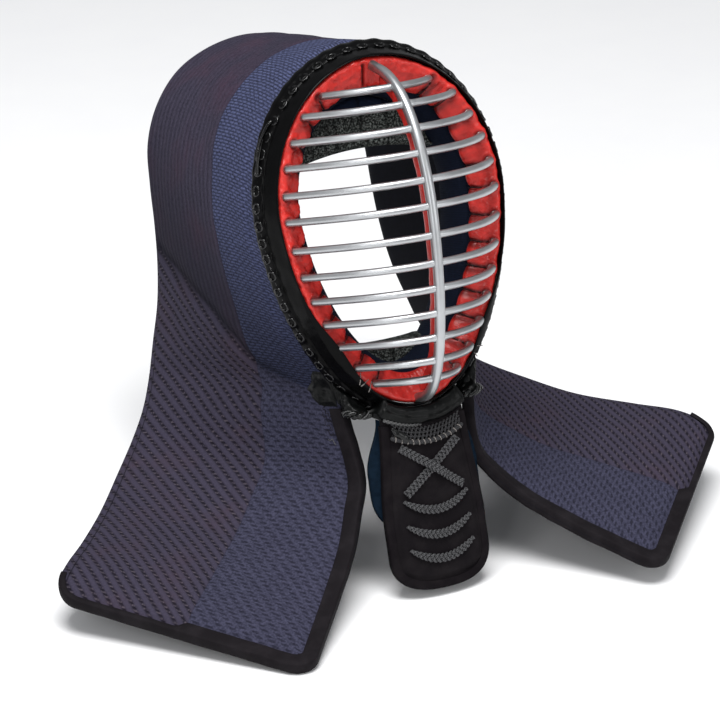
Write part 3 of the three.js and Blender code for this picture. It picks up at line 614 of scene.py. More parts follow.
class Finish:
    """A material's nodes, with its shader at the end."""

    def __init__(self, name, **constants):
        self.material = bpy.data.materials.new(name)
        self.material.use_nodes = True
        self.tree = self.material.node_tree
        self.shader = self.tree.nodes["Principled BSDF"]
        for socket, value in constants.items():
            self.shader.inputs[socket.replace("_", " ")].default_value = value

    def node(self, kind, settings, inputs, output=0):
        made = self.tree.nodes.new("ShaderNode" + kind)
        for key, value in settings.items():
            setattr(made, key, value)
        for key, value in inputs.items():
            self.feed(made.inputs[key], value)
        return Wire(self, made.outputs[output])

    def feed(self, socket, value):
        if isinstance(value, Wire):
            self.tree.links.new(value.socket, socket)
        else:
            socket.default_value = value

    def surface(self, **wires):
        for socket, value in wires.items():
            self.feed(self.shader.inputs[socket.replace("_", " ")], value)
        return self.material

    def lengths(self):
        """The two lengths along the surface, in millimetres."""
        uv = self.node("UVMap", {"uv_map": "lengths"}, {})
        return tuple(self.node("SeparateXYZ", {}, {0: uv}, output) for output in (0, 1))

    def mark(self, name):
        return self.node("Attribute", {"attribute_name": name}, {}, "Fac")

    def noise(self, size, detail=2.0, stretch=(1, 1, 1)):
        """Random hills a given size across, from 0 to 1."""
        place = self.node("TexCoord", {}, {}, "Object")
        scaled = self.node("VectorMath", {"operation": "MULTIPLY"}, {0: place, 1: stretch})
        inputs = {"Vector": scaled, "Scale": 1000 / size, "Detail": detail, "Roughness": 0.55}
        return self.node("TexNoise", {}, inputs, "Fac")

    def blend(self, share, first, second):
        return self.node("Mix", {"data_type": "RGBA"}, {0: share, 6: first, 7: second}, 2)

    def bump(self, height, strength=1.0):
        """A normal from heights in millimetres."""
        return self.node("Bump", {}, {"Height": height, "Distance": 0.001, "Strength": strength})


# Camera and light

CAMERA_DISTANCE = 2500
CAMERA_RIGHT = -25.8
CAMERA_UP = -91.8
CAMERA_LENS = 177.1


def set_camera():
    """A long lens, from the wearer's front right and above."""
    right = np.array([0.8926, -0.4509, 0])
    up = np.array([0.1819, 0.3602, 0.915])
    back = np.array([-0.4125, -0.8167, 0.4035])
    offset = right * CAMERA_RIGHT + up * CAMERA_UP + back * CAMERA_DISTANCE
    place = to_part([0, 0, 0]) + offset / 1000
    data = bpy.data.cameras.new("camera")
    data.sensor_width = 36
    data.lens = CAMERA_LENS
    data.clip_start = 0.05
    data.clip_end = 100
    camera = bpy.data.objects.new("camera", data)
    bpy.context.scene.collection.objects.link(camera)
    camera.matrix_world = Matrix([*zip(right, up, back, place), (0, 0, 0, 1)])
    bpy.context.scene.camera = camera


def soft_box(name, place, aim, size, power):
    data = bpy.data.lights.new(name, "AREA")
    data.shape = "RECTANGLE"
    data.size, data.size_y = size
    data.energy = power
    lamp = bpy.data.objects.new(name, data)
    bpy.context.scene.collection.objects.link(lamp)
    lamp.location = place
    lamp.rotation_mode = "QUATERNION"
    lamp.rotation_quaternion = (Vector(place) - Vector(aim)).to_track_quat("Z", "Y")


def set_studio():
    bpy.context.scene.view_settings.view_transform = "Standard"
    world = bpy.data.worlds.new("studio")
    bpy.context.scene.world = world
    world.use_nodes = True
    room = world.node_tree.nodes["Background"]
    room.inputs["Color"].default_value = (0.95, 0.97, 1.0, 1.0)
    room.inputs["Strength"].default_value = 0.36
    soft_box("soft_box_over", (-0.4, -0.6, 2.4), (0, 0, 0), (1.5, 1.2), 80)
    soft_box("soft_box_side", (-2.2, -1.5, 1.3), (0, 0, 0), (0.8, 1.4), 12)
    soft_box("soft_box_front", (1.3, -2.6, 0.9), (0, 0, 0), (0.8, 1.4), 14)
    soft_box("small_lamp", (-1.5, -1.9, 0.5), (0, 0, 0), (0.22, 0.22), 5)


# Materials

QUILT_PITCH = 7.1
QUILT_ANGLE = np.radians(45)
STITCH_PITCH = 3.45
WEAVE_ROW = 2.35
WEAVE_GRAIN = 8
RIB_PITCH = 6.75


def quilted_cotton():
    """Blue rice-grain weave beside the rim, a ribbed purple panel behind it, stitched rows on the flaps."""
    cloth = Finish("quilted_cotton", Roughness=0.92, Specular_IOR_Level=0.1)
    u, v = cloth.lengths()
    seam, crease, rear = (cloth.mark(name) for name in ("seam", "crease", "rear"))
    inside, fold = cloth.mark("inside"), cloth.mark("fold")
    purple = seam.step(-0.3, 0.4)
    flap = crease.step(-2.5, 2.5)
    uneven, mottle, fine = cloth.noise(45, 3), cloth.noise(5, 3), cloth.noise(1.5, 2)
    wobble = cloth.noise(3.5, 2)

    # Rice-grain weave: short rows of grains, each row half a grain further on
    row = u / WEAVE_ROW + wobble * 0.5
    lie = v / WEAVE_GRAIN + row.floor() * 0.5 + wobble * 0.7
    between_rows = row.fract().step(0.0, 0.4) * row.fract().step(1.0, 0.6)
    grain = (lie.wave().step(0.0, 0.45) * 0.75 + 0.25) * between_rows
    # Fine ribs that run along the hood
    rib = (v / RIB_PITCH + wobble * 0.25).wave()
    # Stitched rows of the flaps
    across = u * float(np.sin(QUILT_ANGLE)) + v * float(np.cos(QUILT_ANGLE))
    ridge = (across / QUILT_PITCH).wave(0.25)
    stitch = (u / STITCH_PITCH + wobble * 0.15).wave()
    dot = ridge.step(0.35, 0.0) * stitch.step(0.5, 0.9)
    light_dot = ridge.step(0.5, 0.1) * stitch.step(0.4, 0.1) * fine.step(0.4, 0.6)
    dash = ridge.step(0.85, 0.2) * (u / STITCH_PITCH + wobble * 0.5).wave().step(0.35, 0.8)

    speckle = fine.step(0.3, 0.7)
    blue = cloth.blend(grain * (0.3 + mottle * 0.7) + speckle * 0.35, rgb(27, 29, 44), rgb(80, 86, 119))
    rib_share = crease.step(-230, -60) * 0.4
    ribbed = cloth.blend(rib * rib_share + speckle * 0.45 + mottle * 0.25, rgb(31, 28, 40), rgb(66, 62, 78))
    ribbed = cloth.blend(uneven.step(0.4, 0.8) * mottle * 0.8, ribbed, rgb(70, 48, 62))
    # Painted shade: the stitched rows are lighter on their ridges and darker in the valleys between them
    quilt = cloth.blend(ridge.step(0.0, 0.9) * 0.6 + speckle * 0.25, rgb(37, 34, 44), rgb(62, 58, 74))
    quilt = cloth.blend(uneven.step(0.45, 0.85) * mottle * 0.7, quilt, rgb(68, 50, 58))
    quilt = cloth.blend(dot * 0.7, quilt, rgb(20, 17, 24))
    quilt = cloth.blend(light_dot * 0.5, quilt, rgb(92, 84, 90))
    plain = cloth.blend(speckle * 0.5 + mottle * 0.45, rgb(33, 33, 46), rgb(70, 70, 90))
    plain = cloth.blend(dash * 0.6, plain, rgb(21, 21, 30))
    front = cloth.blend(flap, blue, plain)
    behind = cloth.blend(flap, ribbed, quilt)
    colour = cloth.blend(purple, front, behind)
    stitched_line = (rear - EDGE_STITCH_INSET).size().step(0.9, 0.2) * flap
    colour = cloth.blend(stitched_line * 0.7, colour, rgb(22, 20, 28))
    seam_line = seam.size().step(0.7, 0.1)
    colour = cloth.blend(seam_line * 0.35, colour, rgb(34, 32, 46))
    # Painted shade: darker towards the crease on the side above it, which turns from the light, and along the
    # fold itself
    shaded = crease.step(-120, -6) * (1 - flap)
    colour = cloth.blend(shaded * 0.6 + fold * 0.3, colour, rgb(16, 16, 24))
    colour = cloth.blend(inside, colour, cloth.blend(mottle, rgb(11, 12, 18), rgb(20, 22, 34)))
    blue_height = grain * 0.4 + fine * 0.1
    ribbed_height = rib * 0.3 + fine * 0.15
    quilt_height = fine * 0.2 - dot * 0.55 + light_dot * 0.2
    plain_height = fine * 0.2 - dash * 0.35
    front_height = blue_height * (1 - flap) + plain_height * flap
    behind_height = ribbed_height * (1 - flap) + quilt_height * flap
    height = front_height * (1 - purple) + behind_height * purple - stitched_line * 0.5
    return cloth.surface(Base_Color=colour, Normal=cloth.bump(height * (1 - inside)))


def leather(name, dark, light, roughness, grain=1.1, coat=0.0, creases=0.25, gloss=0.2):
    """Grained leather with creases and worn lighter patches."""
    hide = Finish(name, Coat_Weight=coat, Coat_Roughness=0.2, Specular_IOR_Level=gloss)
    pebbles = hide.node("TexVoronoi", {}, {
        "Vector": hide.node("TexCoord", {}, {}, "Object"), "Scale": 1000 / grain,
    }, "Distance")
    worn, folds = hide.noise(14, 4), hide.noise(7, 5, (1, 1, 2.5))
    colour = hide.blend(worn.step(0.35, 0.75), rgb(*dark), rgb(*light))
    return hide.surface(
        Base_Color=colour,
        Roughness=roughness + worn * 0.18 - 0.09,
        Normal=hide.bump(pebbles * 0.12 + folds * creases, 0.7),
    )


def cotton(name, dark, light, weave=0.9):
    """Plain woven cotton."""
    cloth = Finish(name, Roughness=0.95, Specular_IOR_Level=0.08)
    u, v = cloth.lengths()
    warp, weft = (u / weave).wave(), (v / weave).wave()
    over = (u / weave * 0.5).fract().step(0.4, 0.6)
    threads = warp * over + weft * (1 - over)
    mottle = cloth.noise(6, 4)
    colour = cloth.blend(threads * 0.6 + mottle * 0.4, rgb(*dark), rgb(*light))
    return cloth.surface(Base_Color=colour, Normal=cloth.bump(threads * 0.12 + mottle * 0.5, 0.9))


def velvet():
    """Black velvet with a rough pile, light specks of painted sheen on it, and sewn vertical seams."""
    pile = Finish("black_velvet", Roughness=0.85, Specular_IOR_Level=0.08)
    speckle, tuft, patchy = pile.noise(1.3, 3), pile.noise(2.2, 4), pile.noise(16)
    seam, cloth = pile.mark("seam"), pile.mark("cloth")
    # Painted sheen: light specks on the black pile
    colour = pile.blend(speckle.step(0.42, 0.72), rgb(20, 22, 21), rgb(112, 117, 114))
    colour = pile.blend(patchy.step(0.35, 0.7) * 0.4, colour, rgb(22, 24, 24))
    colour = pile.blend(cloth, colour, pile.blend(tuft, rgb(10, 15, 25), rgb(24, 34, 56)))
    colour = pile.blend(seam * 0.7, colour, rgb(6, 7, 8))
    return pile.surface(Base_Color=colour, Normal=pile.bump(speckle * 0.5 + tuft * 0.6 - seam * 0.6))


def satin_metal():
    metal = Finish("grille_metal", Metallic=1.0)
    brushed = metal.noise(3.0, 3)
    cloudy = metal.noise(20)
    colour = metal.blend(cloudy, rgb(166, 168, 170), rgb(196, 198, 200))
    return metal.surface(
        Base_Color=colour,
        Roughness=0.34 + brushed * 0.12,
        Normal=metal.bump(brushed * 0.02),
    )


def red_lacquer(name="red_lacquer"):
    """Red lacquer over leather: glossy and wrinkled, with painted shade in its sockets, slits and the troughs
    of its wrinkles.
    """
    skin = Finish(name, Coat_Weight=0.2, Coat_Roughness=0.15, Specular_IOR_Level=0.3)
    deep = skin.mark("deep")
    worn, wrinkle, fine = skin.noise(10, 4), skin.noise(3.2, 4), skin.noise(0.9, 2)
    colour = skin.blend(worn.step(0.3, 0.75), rgb(182, 36, 30), rgb(212, 50, 44))
    # Painted shade in the troughs of the wrinkles
    colour = skin.blend(wrinkle.step(0.42, 0.2) * 0.45, colour, rgb(128, 18, 17))
    # Painted shade where the mark lies: sockets, slits, folds and under the bars
    colour = skin.blend(deep, colour, rgb(58, 6, 8))
    return skin.surface(
        Base_Color=colour,
        Roughness=0.3 + worn * 0.2,
        Normal=skin.bump(wrinkle * 0.45 + fine * 0.06 + worn * 0.5, 0.8),
    )


def black_lacquer(name, roughness, shine):
    """Black lacquer over leather, nearly a mirror, with soft dents."""
    skin = Finish(name, Specular_IOR_Level=shine)
    dents, fine = skin.noise(9, 2), skin.noise(3, 2)
    colour = skin.blend(dents, rgb(5, 5, 5), rgb(10, 10, 11))
    return skin.surface(
        Base_Color=colour,
        Roughness=roughness + fine * 0.1,
        Normal=skin.bump(dents * 0.3 + fine * 0.05, 0.6),
    )


def cord_yarn(name, dark, light, roughness=0.6):
    """Twisted yarn."""
    yarn = Finish(name, Specular_IOR_Level=0.2)
    u, v = yarn.lengths()
    twist = (u / 1.5 + v / 2.4).wave()
    fuzz = yarn.noise(0.7, 3)
    colour = yarn.blend(twist * 0.6 + fuzz * 0.4, rgb(*dark), rgb(*light))
    return yarn.surface(
        Base_Color=colour,
        Roughness=roughness + fuzz * 0.2,
        Normal=yarn.bump(twist * 0.16 + fuzz * 0.1),
    )


# Pieces

def wear(shape, name, finishes):
    """Makes a piece in place of the solid of that name and fixes it to the part."""
    piece = shape.build(name + "_detail", finishes)
    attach(piece, "root")
    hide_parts(name)


SECTION_STEP = 30  # mm, for places given along the hood
HOOD_WIDTH = 196
HOOD_HALF_LENGTH = 519
LENGTH_STEPS = 340
LENGTH_SHARES = 20


def lengths_to_tip():
    """Length from each place to the tip, along the hood, on an even table of places and shares."""
    places, shares = np.linspace(0, HOOD_SPANS, LENGTH_STEPS + 1), np.linspace(0, 1, LENGTH_SHARES + 1)
    points = hood_point(places[:, None], shares[None])
    steps = np.linalg.norm(np.diff(points, axis=0), axis=-1)
    return np.concatenate([np.cumsum(steps[::-1], 0)[::-1], np.zeros((1, len(shares)))])


TO_TIP = lengths_to_tip()


def along_hood(place, share):
    """Length along the hood, counted so that the pattern lies true at the flap's tip."""
    row, col = np.abs(place) / HOOD_SPANS * LENGTH_STEPS, share * LENGTH_SHARES
    i = np.clip(row.astype(int), 0, LENGTH_STEPS - 1)
    j = np.clip(col.astype(int), 0, LENGTH_SHARES - 1)
    s, t = row - i, col - j
    near = TO_TIP[i, j] * (1 - t) + TO_TIP[i, j + 1] * t
    far = TO_TIP[i + 1, j] * (1 - t) + TO_TIP[i + 1, j + 1] * t
    return HOOD_HALF_LENGTH - near * (1 - s) - far * s


# The crease where the flaps begin: from the front edge to the rear one
CREASE_ACROSS = (0, 14, 67, 84, 112, 145, 188, 200)
CREASE_ALONG = (312, 309, 285, 261, 239, 219, 200, 192)
CREASE_SLANT = 0.82
SEAM_SHARE = 0.366
SEAM_BEND_PLACE = 9
SEAM_BEND_LENGTH = 8

# Heights and depths of the quilting
RIDGE_HEIGHT = 0.2
PURPLE_RIDGE_RISE = 0.4
SEAM_DEPTH = 0.6
CREASE_DEPTH = 2.4
CREASE_ROLL = 0.8
EDGE_STITCH_DEPTH = 0.5
EDGE_STITCH_INSET = 4.6

# Rows and columns of the pad's coarse and fine skin
SWELL_COLUMNS = 28
SKIN_COLUMNS = 104
FLAP_STATION = 0.46
CROWN_STEP = 2.4 / 520


def hood_marks(place, share):
    """Distances from the hood's seam, crease and rear edge; positive towards the rear and the tip."""
    along, across = np.abs(place) * SECTION_STEP, share * HOOD_WIDTH
    bend = smooth((np.abs(place) - SEAM_BEND_PLACE) / SEAM_BEND_LENGTH)
    seam_share = SEAM_SHARE + (TIP_SEAM_SHARE - SEAM_SHARE) * bend
    crease = (along - np.interp(across, CREASE_ACROSS, CREASE_ALONG)) * CREASE_SLANT
    return {"seam": (share - seam_share) * HOOD_WIDTH, "crease": crease, "rear": (1 - share) * HOOD_WIDTH}


def hood_relief(place, share, marks):
    """Height of the quilting on the outer face."""
    along, across = along_hood(place, share), share * HOOD_WIDTH
    flap = smooth((marks["crease"] + 3) / 8)
    purple = smooth(marks["seam"] / 3)
    phase = (along * np.sin(QUILT_ANGLE) + across * np.cos(QUILT_ANGLE)) / QUILT_PITCH
    ridge = 0.5 + 0.5 * np.cos(2 * np.pi * phase)
    body = smooth((marks["rear"] - 3) / 6)
    relief = (RIDGE_HEIGHT + PURPLE_RIDGE_RISE * purple) * ridge**0.7 * flap * body
    relief -= SEAM_DEPTH * bell(marks["seam"], 1.6)
    relief -= CREASE_DEPTH * bell(marks["crease"], 8) * smooth((across - 20) / 40) * body
    relief += CREASE_ROLL * bell(marks["crease"] - 11, 5) * smooth((across - 30) / 40) * body
    relief -= EDGE_STITCH_DEPTH * bell(marks["rear"] - EDGE_STITCH_INSET, 1.3) * flap
    return relief + hills(along, across, (0.9, 34, 3), (0.3, 13, 4)) * body * smooth(across / 25)


def hood_columns(outer, inner):
    """Columns round the pad's section: share, and how far round its edge a point lies, in degrees."""
    shares = np.concatenate([np.linspace(0, 1, outer), [1, 1, 1], np.linspace(1, 0, inner), [0]])
    turns = np.concatenate([np.zeros(outer), [45, 90, 135], np.full(inner, 180), [270]])
    return shares, np.radians(turns)


def hood_skin(stations, shares, turns, relief=0.0):
    """Skin of the pad at a grid of stations and columns, with the grid's places and shares."""
    station, share = crossed(stations, shares)
    place = station_place(station, share)
    middle, normal = hood_point(place, share), hood_normal(place, share)
    near = np.clip(share, 0.02, 1)
    rearward = unit(hood_point(place, near) - hood_point(place, near - 0.02))
    half = pad_half_thickness(place, share)
    out = np.cos(turns) * (half + relief)
    over = np.sin(turns) * half
    return middle + normal * out[..., None] + rearward * over[..., None], place, share


def padded_hood():
    """Quilted pad: swollen as a coarse skin held at its seams, then made again finely with its relief."""
    coarse = np.linspace(-1, 1, 121)
    shares, turns = hood_columns(SWELL_COLUMNS, SWELL_COLUMNS // 2)
    rest, place, share = hood_skin(coarse, shares, turns)
    marks = hood_marks(place, share)
    edge = np.minimum(share * HOOD_WIDTH - 14, marks["rear"] - 5)
    free = smooth(np.minimum(edge, tip_distance(place, share) - BINDING_REACH) / 6) * (turns == 0)
    sewn = np.maximum(bell(marks["seam"], 4), bell(marks["crease"], 8))
    puff = swollen(rest, 1 - free * (1 - 0.9 * sewn), pressure=2.2, most=3.0)
    lift = (puff * hood_normal(place, share)).sum(-1)[:, :SWELL_COLUMNS]

    half = np.concatenate([np.arange(0, FLAP_STATION, CROWN_STEP), np.linspace(FLAP_STATION, 1, 186)])
    stations = np.concatenate([-half[:0:-1], half])
    shares, turns = hood_columns(SKIN_COLUMNS, SKIN_COLUMNS // 4)
    station, share = crossed(stations, shares)
    place = station_place(station, share)
    marks = hood_marks(place, share)
    lifted = np.zeros(place.shape)
    columns = finer(lift, SKIN_COLUMNS, axis=1).T
    lifted[:, :SKIN_COLUMNS] = np.stack([np.interp(stations, coarse, column) for column in columns], 1)
    open_part = smooth((tip_distance(place, share) - 9 * narrowing(share)) / 5)
    relief = (hood_relief(place, share, marks) + lifted) * (turns < 0.1) * open_part
    skin, place, share = hood_skin(stations, shares, turns, relief)
    lengths = np.stack([along_hood(place, share), share * HOOD_WIDTH], -1)
    lengths = np.concatenate([lengths, lengths[:, :1]], 1)
    # Mark for the painted shade along the crease's fold
    fold = bell(marks["crease"] - 1, 7) * smooth((share * HOOD_WIDTH - 20) / 40)
    inside = (turns > 2) + 0.0 * place
    shape = Shape()
    shape.grid(skin, closed_cols=True, lengths=lengths, caps=True, inside=inside, fold=fold, **marks)
    wear(shape, "padded_hood", [quilted_cotton()])


BINDING_START = 10.9
PATCH_PLACE, PATCH_LENGTH = 9.5, 1.35
PATCH_SHARE = 0.008
PATCH_THICKNESS = 1.7
NET_PLACE, NET_SHARE = 10.85, 0.035
NET_HEIGHT = 4.1
NET_RINGS = 5
BINDING_SECTION = rounded([
    (-2.4, -3.9), (-2.4, 3.9), (0, 4.7), (9, 4.3), (9.2, 3.5), (2, 3.4), (-1.1, 2.4), (-1.1, -2.4), (2, -3.4),
    (9.2, -3.5), (9, -4.3), (0, -4.7),
], 2)


def edge_strip(name, path, inward, normal, section, finish, reach=1.0):
    """A folded strip along an edge; its section is given inwards and along the normal."""
    reach = np.broadcast_to(reach, len(path))[:, None]
    inwards = np.where(section[:, 0] > 0, section[:, 0] * reach, section[:, 0])
    ripple = 0.25 * soft_noise(run_of(path)[:, None] + 0 * section[:, 0], section[:, 1] * 3 + 40, 9, 11)
    rise = section[:, 1] + ripple * np.sign(section[:, 1])
    points = path[:, None] + inward[:, None] * inwards[..., None] + normal[:, None] * rise[..., None]
    shape = Shape()
    shape.grid(points, closed_cols=True, caps=True)
    wear(shape, name, [finish])


def inward_along(path, normal, inside):
    """Unit vectors square to an edge, in its surface, towards a point inside it."""
    inward = unit(np.cross(normal, unit(np.gradient(path, axis=0))))
    return inward * np.where(((inside - path) * inward).sum(-1, keepdims=True) < 0, -1, 1)


def flap_binding(side, name):
    """Folded strip down a flap's front edge and round its tip."""
    down = np.linspace(BINDING_START, HOOD_SPANS - tip_setback(np.array(0.0)), 120)
    turn = eased(120)[1:]
    place = np.concatenate([down, HOOD_SPANS - tip_setback(turn)]) * side
    share = np.concatenate([0 * down, turn])
    path, normal = hood_point(place, share), hood_normal(place, share)
    inward = inward_along(path, normal, hood_point(15.0 * side, 0.5))
    straight = len(down) - 4
    inward[:straight] = unit(hood_point(place, share + 0.1) - path)[:straight]
    edge_strip(name, path, inward, normal, BINDING_SECTION, BINDING, narrowing(share))


def corner_patch(side, name):
    """Leather patch on the hood's corner, with a fan-shaped net of thread sewn beside it."""
    a, c = crossed(np.linspace(0, 1, 50), np.linspace(0, 1, 40))
    edge = smooth(np.minimum(np.minimum(a * 6, (1 - a) * 8), np.minimum(c * 12, (1 - c) * 3.5)))
    place = (PATCH_PLACE + PATCH_LENGTH * a) * side
    width = 0.03 + 0.1 * np.sin(np.pi * (0.15 + 0.6 * a)) ** 2 + 0.004 * np.sin(a * 17)
    share = PATCH_SHARE + width * c
    middle, normal = hood_point(place, share), hood_normal(place, share)
    half = pad_half_thickness(place, share)
    wrinkles = hills(a * 37, c * 34, (0.35, 7, 21), (0.15, 3, 22))
    top = middle + normal * (half + 0.35 + (PATCH_THICKNESS + 1.3 * wrinkles) * edge)[..., None]
    under = middle + normal * (half + 0.1)[..., None]
    shape = Shape()
    shape.grid(np.concatenate([top, under[:, ::-1]], 1), closed_cols=True, caps=True)
    # Rows of the net, each a wave about an arc, the outermost one pale
    turns = np.linspace(0.25, np.pi / 2 + 0.1, 120)
    for ring in range(NET_RINGS):
        reach = 7 + 3.2 * ring + 0.9 * np.cos(turns * (14 + 3 * ring) + ring * np.pi)
        place = (NET_PLACE + reach * np.cos(turns) / SECTION_STEP) * side
        share = NET_SHARE + reach * np.sin(turns) / HOOD_WIDTH
        path = hood_point(place, share) + hood_normal(place, share) * NET_HEIGHT
        radius, finish = (0.3, 1) if ring == NET_RINGS - 1 else (0.22, 2)
        shape.rod(path, radius, sides=5, finish=finish)
    wear(shape, name, [LEATHER, GREY_THREAD, DARK_THREAD])


# Face grille

POST_TOP = (3, 116.4)  # back from the ring plane, and level
BROW_EASE = 3.2  # how much flatter the grille is towards its top
TOP_BAR_TUCK = 4.5
POST_SECTION = rounded([(-3.5, 2.2), (3.5, 2.2), (3.5, -2.6), (1.9, -4.7), (-1.9, -4.7), (-3.5, -2.6)], 2)
STRIP_SECTION = rounded([
    (-2, 3.1), (-0.4, 3.0), (0, 4.2), (0.4, 3.0), (2, 3.1), (2.1, 7), (1.9, 11.4), (0.4, 11.6), (0, 10.4),
    (-0.4, 11.6), (-1.9, 11.4), (-2.1, 7),
], 2)


def bar_bulge(half_width, level):
    """How far forward the grille stands in the middle of one level."""
    full = GRILLE_BULGE * (half_width / (RING_HALF_WIDTH - BAR_INSET)) ** BULGE_EASE
    return full * (1 - BROW_EASE / np.maximum(RING_WIDEST_LEVEL + RING_RISE - BAR_INSET - level, BROW_EASE))


def middle_line(count):
    """Line of the upright bar, from the crown's lining to the chin's."""
    p = rim_point(np.linspace(0, 1, 400), -BAR_INSET, 0)
    bulge = bar_bulge(np.maximum(p[:, 0], 0), p[:, 2])
    line = np.stack([0 * bulge, -bulge, p[:, 2]], -1)
    line = line[bulge > POST_TOP[0]]
    return walked(np.concatenate([[(0, *POST_TOP)], line, [(0, BAR_SEAT, line[-1, 2] - 2)]]), count)


def behind_line(line):
    """Unit vectors from the upright bar towards the face, square to the bar."""
    rearward = unit(np.cross(unit(np.gradient(line, axis=0)), (1, 0, 0)))
    return rearward * np.where(rearward[:, 1:2] < 0, -1, 1)


def face_grille():
    """Cross bars and the upright one, thicker where they are soldered."""
    shape = Shape()
    turn = np.linspace(-np.pi / 2, np.pi / 2, 72)
    for level in BAR_HEIGHTS:
        half = float(half_width_at(level, BAR_INSET)) - TOP_BAR_TUCK * (level == BAR_HEIGHTS[0])
        x = half * np.sin(turn)
        y = -bar_bulge(half, level) * (1 - np.abs(np.sin(turn)) ** BAR_CURVE)
        path = np.stack([x, y, 0 * x + level], -1)
        start, end = ([(side * half, BAR_SEAT * sunk, level) for sunk in (1.0, 0.6, 0.3)] for side in (-1, 1))
        path = np.concatenate([start, path, end[::-1]])
        solder = 0.45 * bell(np.abs(path[:, 0]) - 3.2, 1.3)
        shape.rod(path, BAR_RADIUS + solder, sides=16)
    line = middle_line(150)
    depth = behind_line(line)[:, None] * POST_SECTION[:, 1:]
    points = line[:, None] + (1, 0, 0) * POST_SECTION[:, :1] + depth
    shape.grid(points, closed_cols=True, caps=True)
    wear(shape, "face_grille", [satin_metal()])


def centre_strip():
    """Red strip behind the upright bar, folded over itself with a slit between the two halves."""
    line = middle_line(160)[8:-8]
    run = run_of(line)
    wave = (1 + 0.1 * soft_noise(run, 0 * run, 8, 31))[:, None]
    depth = 3 + (STRIP_SECTION[:, 1] - 3) * wave * 0.95
    width = (1, 0, 0) * STRIP_SECTION[:, :1] * wave[..., None]
    points = line[:, None] + width + behind_line(line)[:, None] * depth[..., None]
    shape = Shape()
    # Painted shade in the slit down the middle of the strip
    shape.grid(points, closed_cols=True, caps=True, deep=bell(STRIP_SECTION[:, 0], 0.5) * 0.6 + 0 * depth)
    wear(shape, "centre_strip", [red_lacquer("red_strip")])


# Rim

BAR_SHARES = share_at(BAR_HEIGHTS, BAR_INSET)
SOCKETS = np.concatenate([BAR_SHARES, 2 - BAR_SHARES])


def ring_gap(share, places):
    """Signed distance along the ring, in millimetres, to the nearest of some places."""
    gap = (share[..., None] - places + 1) % 2 - 1
    nearest = np.abs(gap).argmin(-1)
    return np.take_along_axis(gap, nearest[..., None], -1)[..., 0] * RING_HALF_LENGTH


def round_ring(section, shares):
    """Grids of shares and of a section's lengths out and back, for a piece that follows the ring."""
    share, out = crossed(shares, section[:, 0])
    return share, out, np.broadcast_to(section[:, 1], share.shape)


def full_ring(rows):
    return np.arange(rows) * 2 / rows


COLLAR_HEIGHT = 1.1
SOCKET_DEPTH = 1.3
SCALLOP_RISE = 1.3
SCALLOP_NOTCH = 1.4
FOLD_DEPTH = 3.4
FOLD_HUMP = 1.2
# Tacking stitches over the join with the band, low on each side: share of the ring, and lean
TACKS = ((1.16, 0.006), (1.145, -0.004), (1.13, 0.002), (0.815, 0.006), (0.83, -0.004))
LINING_SECTION = rounded([
    (-0.2, 0.3), (-8, 2.2), (-17.6, 8.8), (-20.4, 12.4), (-18.4, 15.2), (-10, 15), (-0.2, 14),
], 3)


def rim_lining():
    """Red lining with a collar round each bar, a scalloped inner edge, sewn slits and a fold at the crown."""
    share, out, back = round_ring(LINING_SECTION, full_ring(900))
    tangent = unit(np.roll(LINING_SECTION, -1, 0) - np.roll(LINING_SECTION, 1, 0))
    facing = np.stack([tangent[:, 1], -tangent[:, 0]], -1)
    facing *= np.sign((facing * (LINING_SECTION - LINING_SECTION.mean(0))).sum())
    front = smooth((-facing[:, 1] + 0.2) / 0.6)
    inner = smooth((-LINING_SECTION[:, 0] - 12) / 8)
    run, gap = share * RING_HALF_LENGTH, ring_gap(share, SOCKETS)
    reach = np.hypot(gap, out + BAR_INSET + 1)
    collar = COLLAR_HEIGHT * bell(reach - 4.6, 1.9) - SOCKET_DEPTH * bell(reach, 3.0)
    scallop = inner * (SCALLOP_RISE * (1 - bell(gap, 5.5)) - SCALLOP_NOTCH * bell(gap, 1.8))
    wrinkles = 0.55 * soft_noise(run, out * 1.5 + 60, 5.5, 41) + 0.35 * soft_noise(run, out + 60, 2.4, 42)
    crown = ring_gap(share, np.array([0.0]))
    slot = FOLD_DEPTH * bell(crown + 8.0, 1.3) * smooth((-out - 3) / 3)
    hump = FOLD_HUMP * bell(crown + 13.5, 4.5)
    relief = front * (collar + wrinkles + hump - slot) + scallop
    points = rim_point(share, out + facing[:, 0] * relief, back + facing[:, 1] * relief)
    # Painted shade: dark in the sockets, slits and fold, a painted shadow below each bar, and darker on the
    # faces that turn back from the light
    slit = 0.9 * bell(gap, 1.2) * smooth((-out - 8) / 3)
    below = gap * np.where(share > 1, -1, 1)
    shade = 0.6 * bell(below - 4.2, 2.6) * smooth((-out - 5.5) / 4) + 0.45 * inner * bell(gap, 5)
    deep = bell(reach, 3.6) + shade + front * (slot / 3.2 + slit) + 0.35 * (facing[:, 1] > 0.3)
    shape = Shape()
    shape.grid(points, closed_rows=True, closed_cols=True, deep=np.clip(deep, 0, 1) * 0.92)
    outs = np.linspace(-9.5, -20.5, 9)
    backs = np.interp(-outs, (8, 17.6, 20.4, 21), (2.2, 8.8, 12.4, 14)) - 0.5
    sway = 0.6 + 0.35 * np.sin(np.linspace(0, 5, 9))
    for place in SOCKETS:
        side = 1 if place < 1 else -1
        shape.rod(rim_point(place + side * sway / RING_HALF_LENGTH, outs, backs), 0.42, sides=6, finish=1)
    outs = np.linspace(2.5, -5, 14)
    backs = np.where(outs > 0, -1.3, outs * -0.28 - 0.7) - 0.5 * bell(outs, 3)
    for place, lean in TACKS:
        shape.rod(rim_point(place + lean * np.linspace(-1, 1, 14), outs, backs), 0.36, sides=6, finish=2)
    wear(shape, "rim_lining", [red_lacquer(), DARK_THREAD, LIGHT_THREAD])


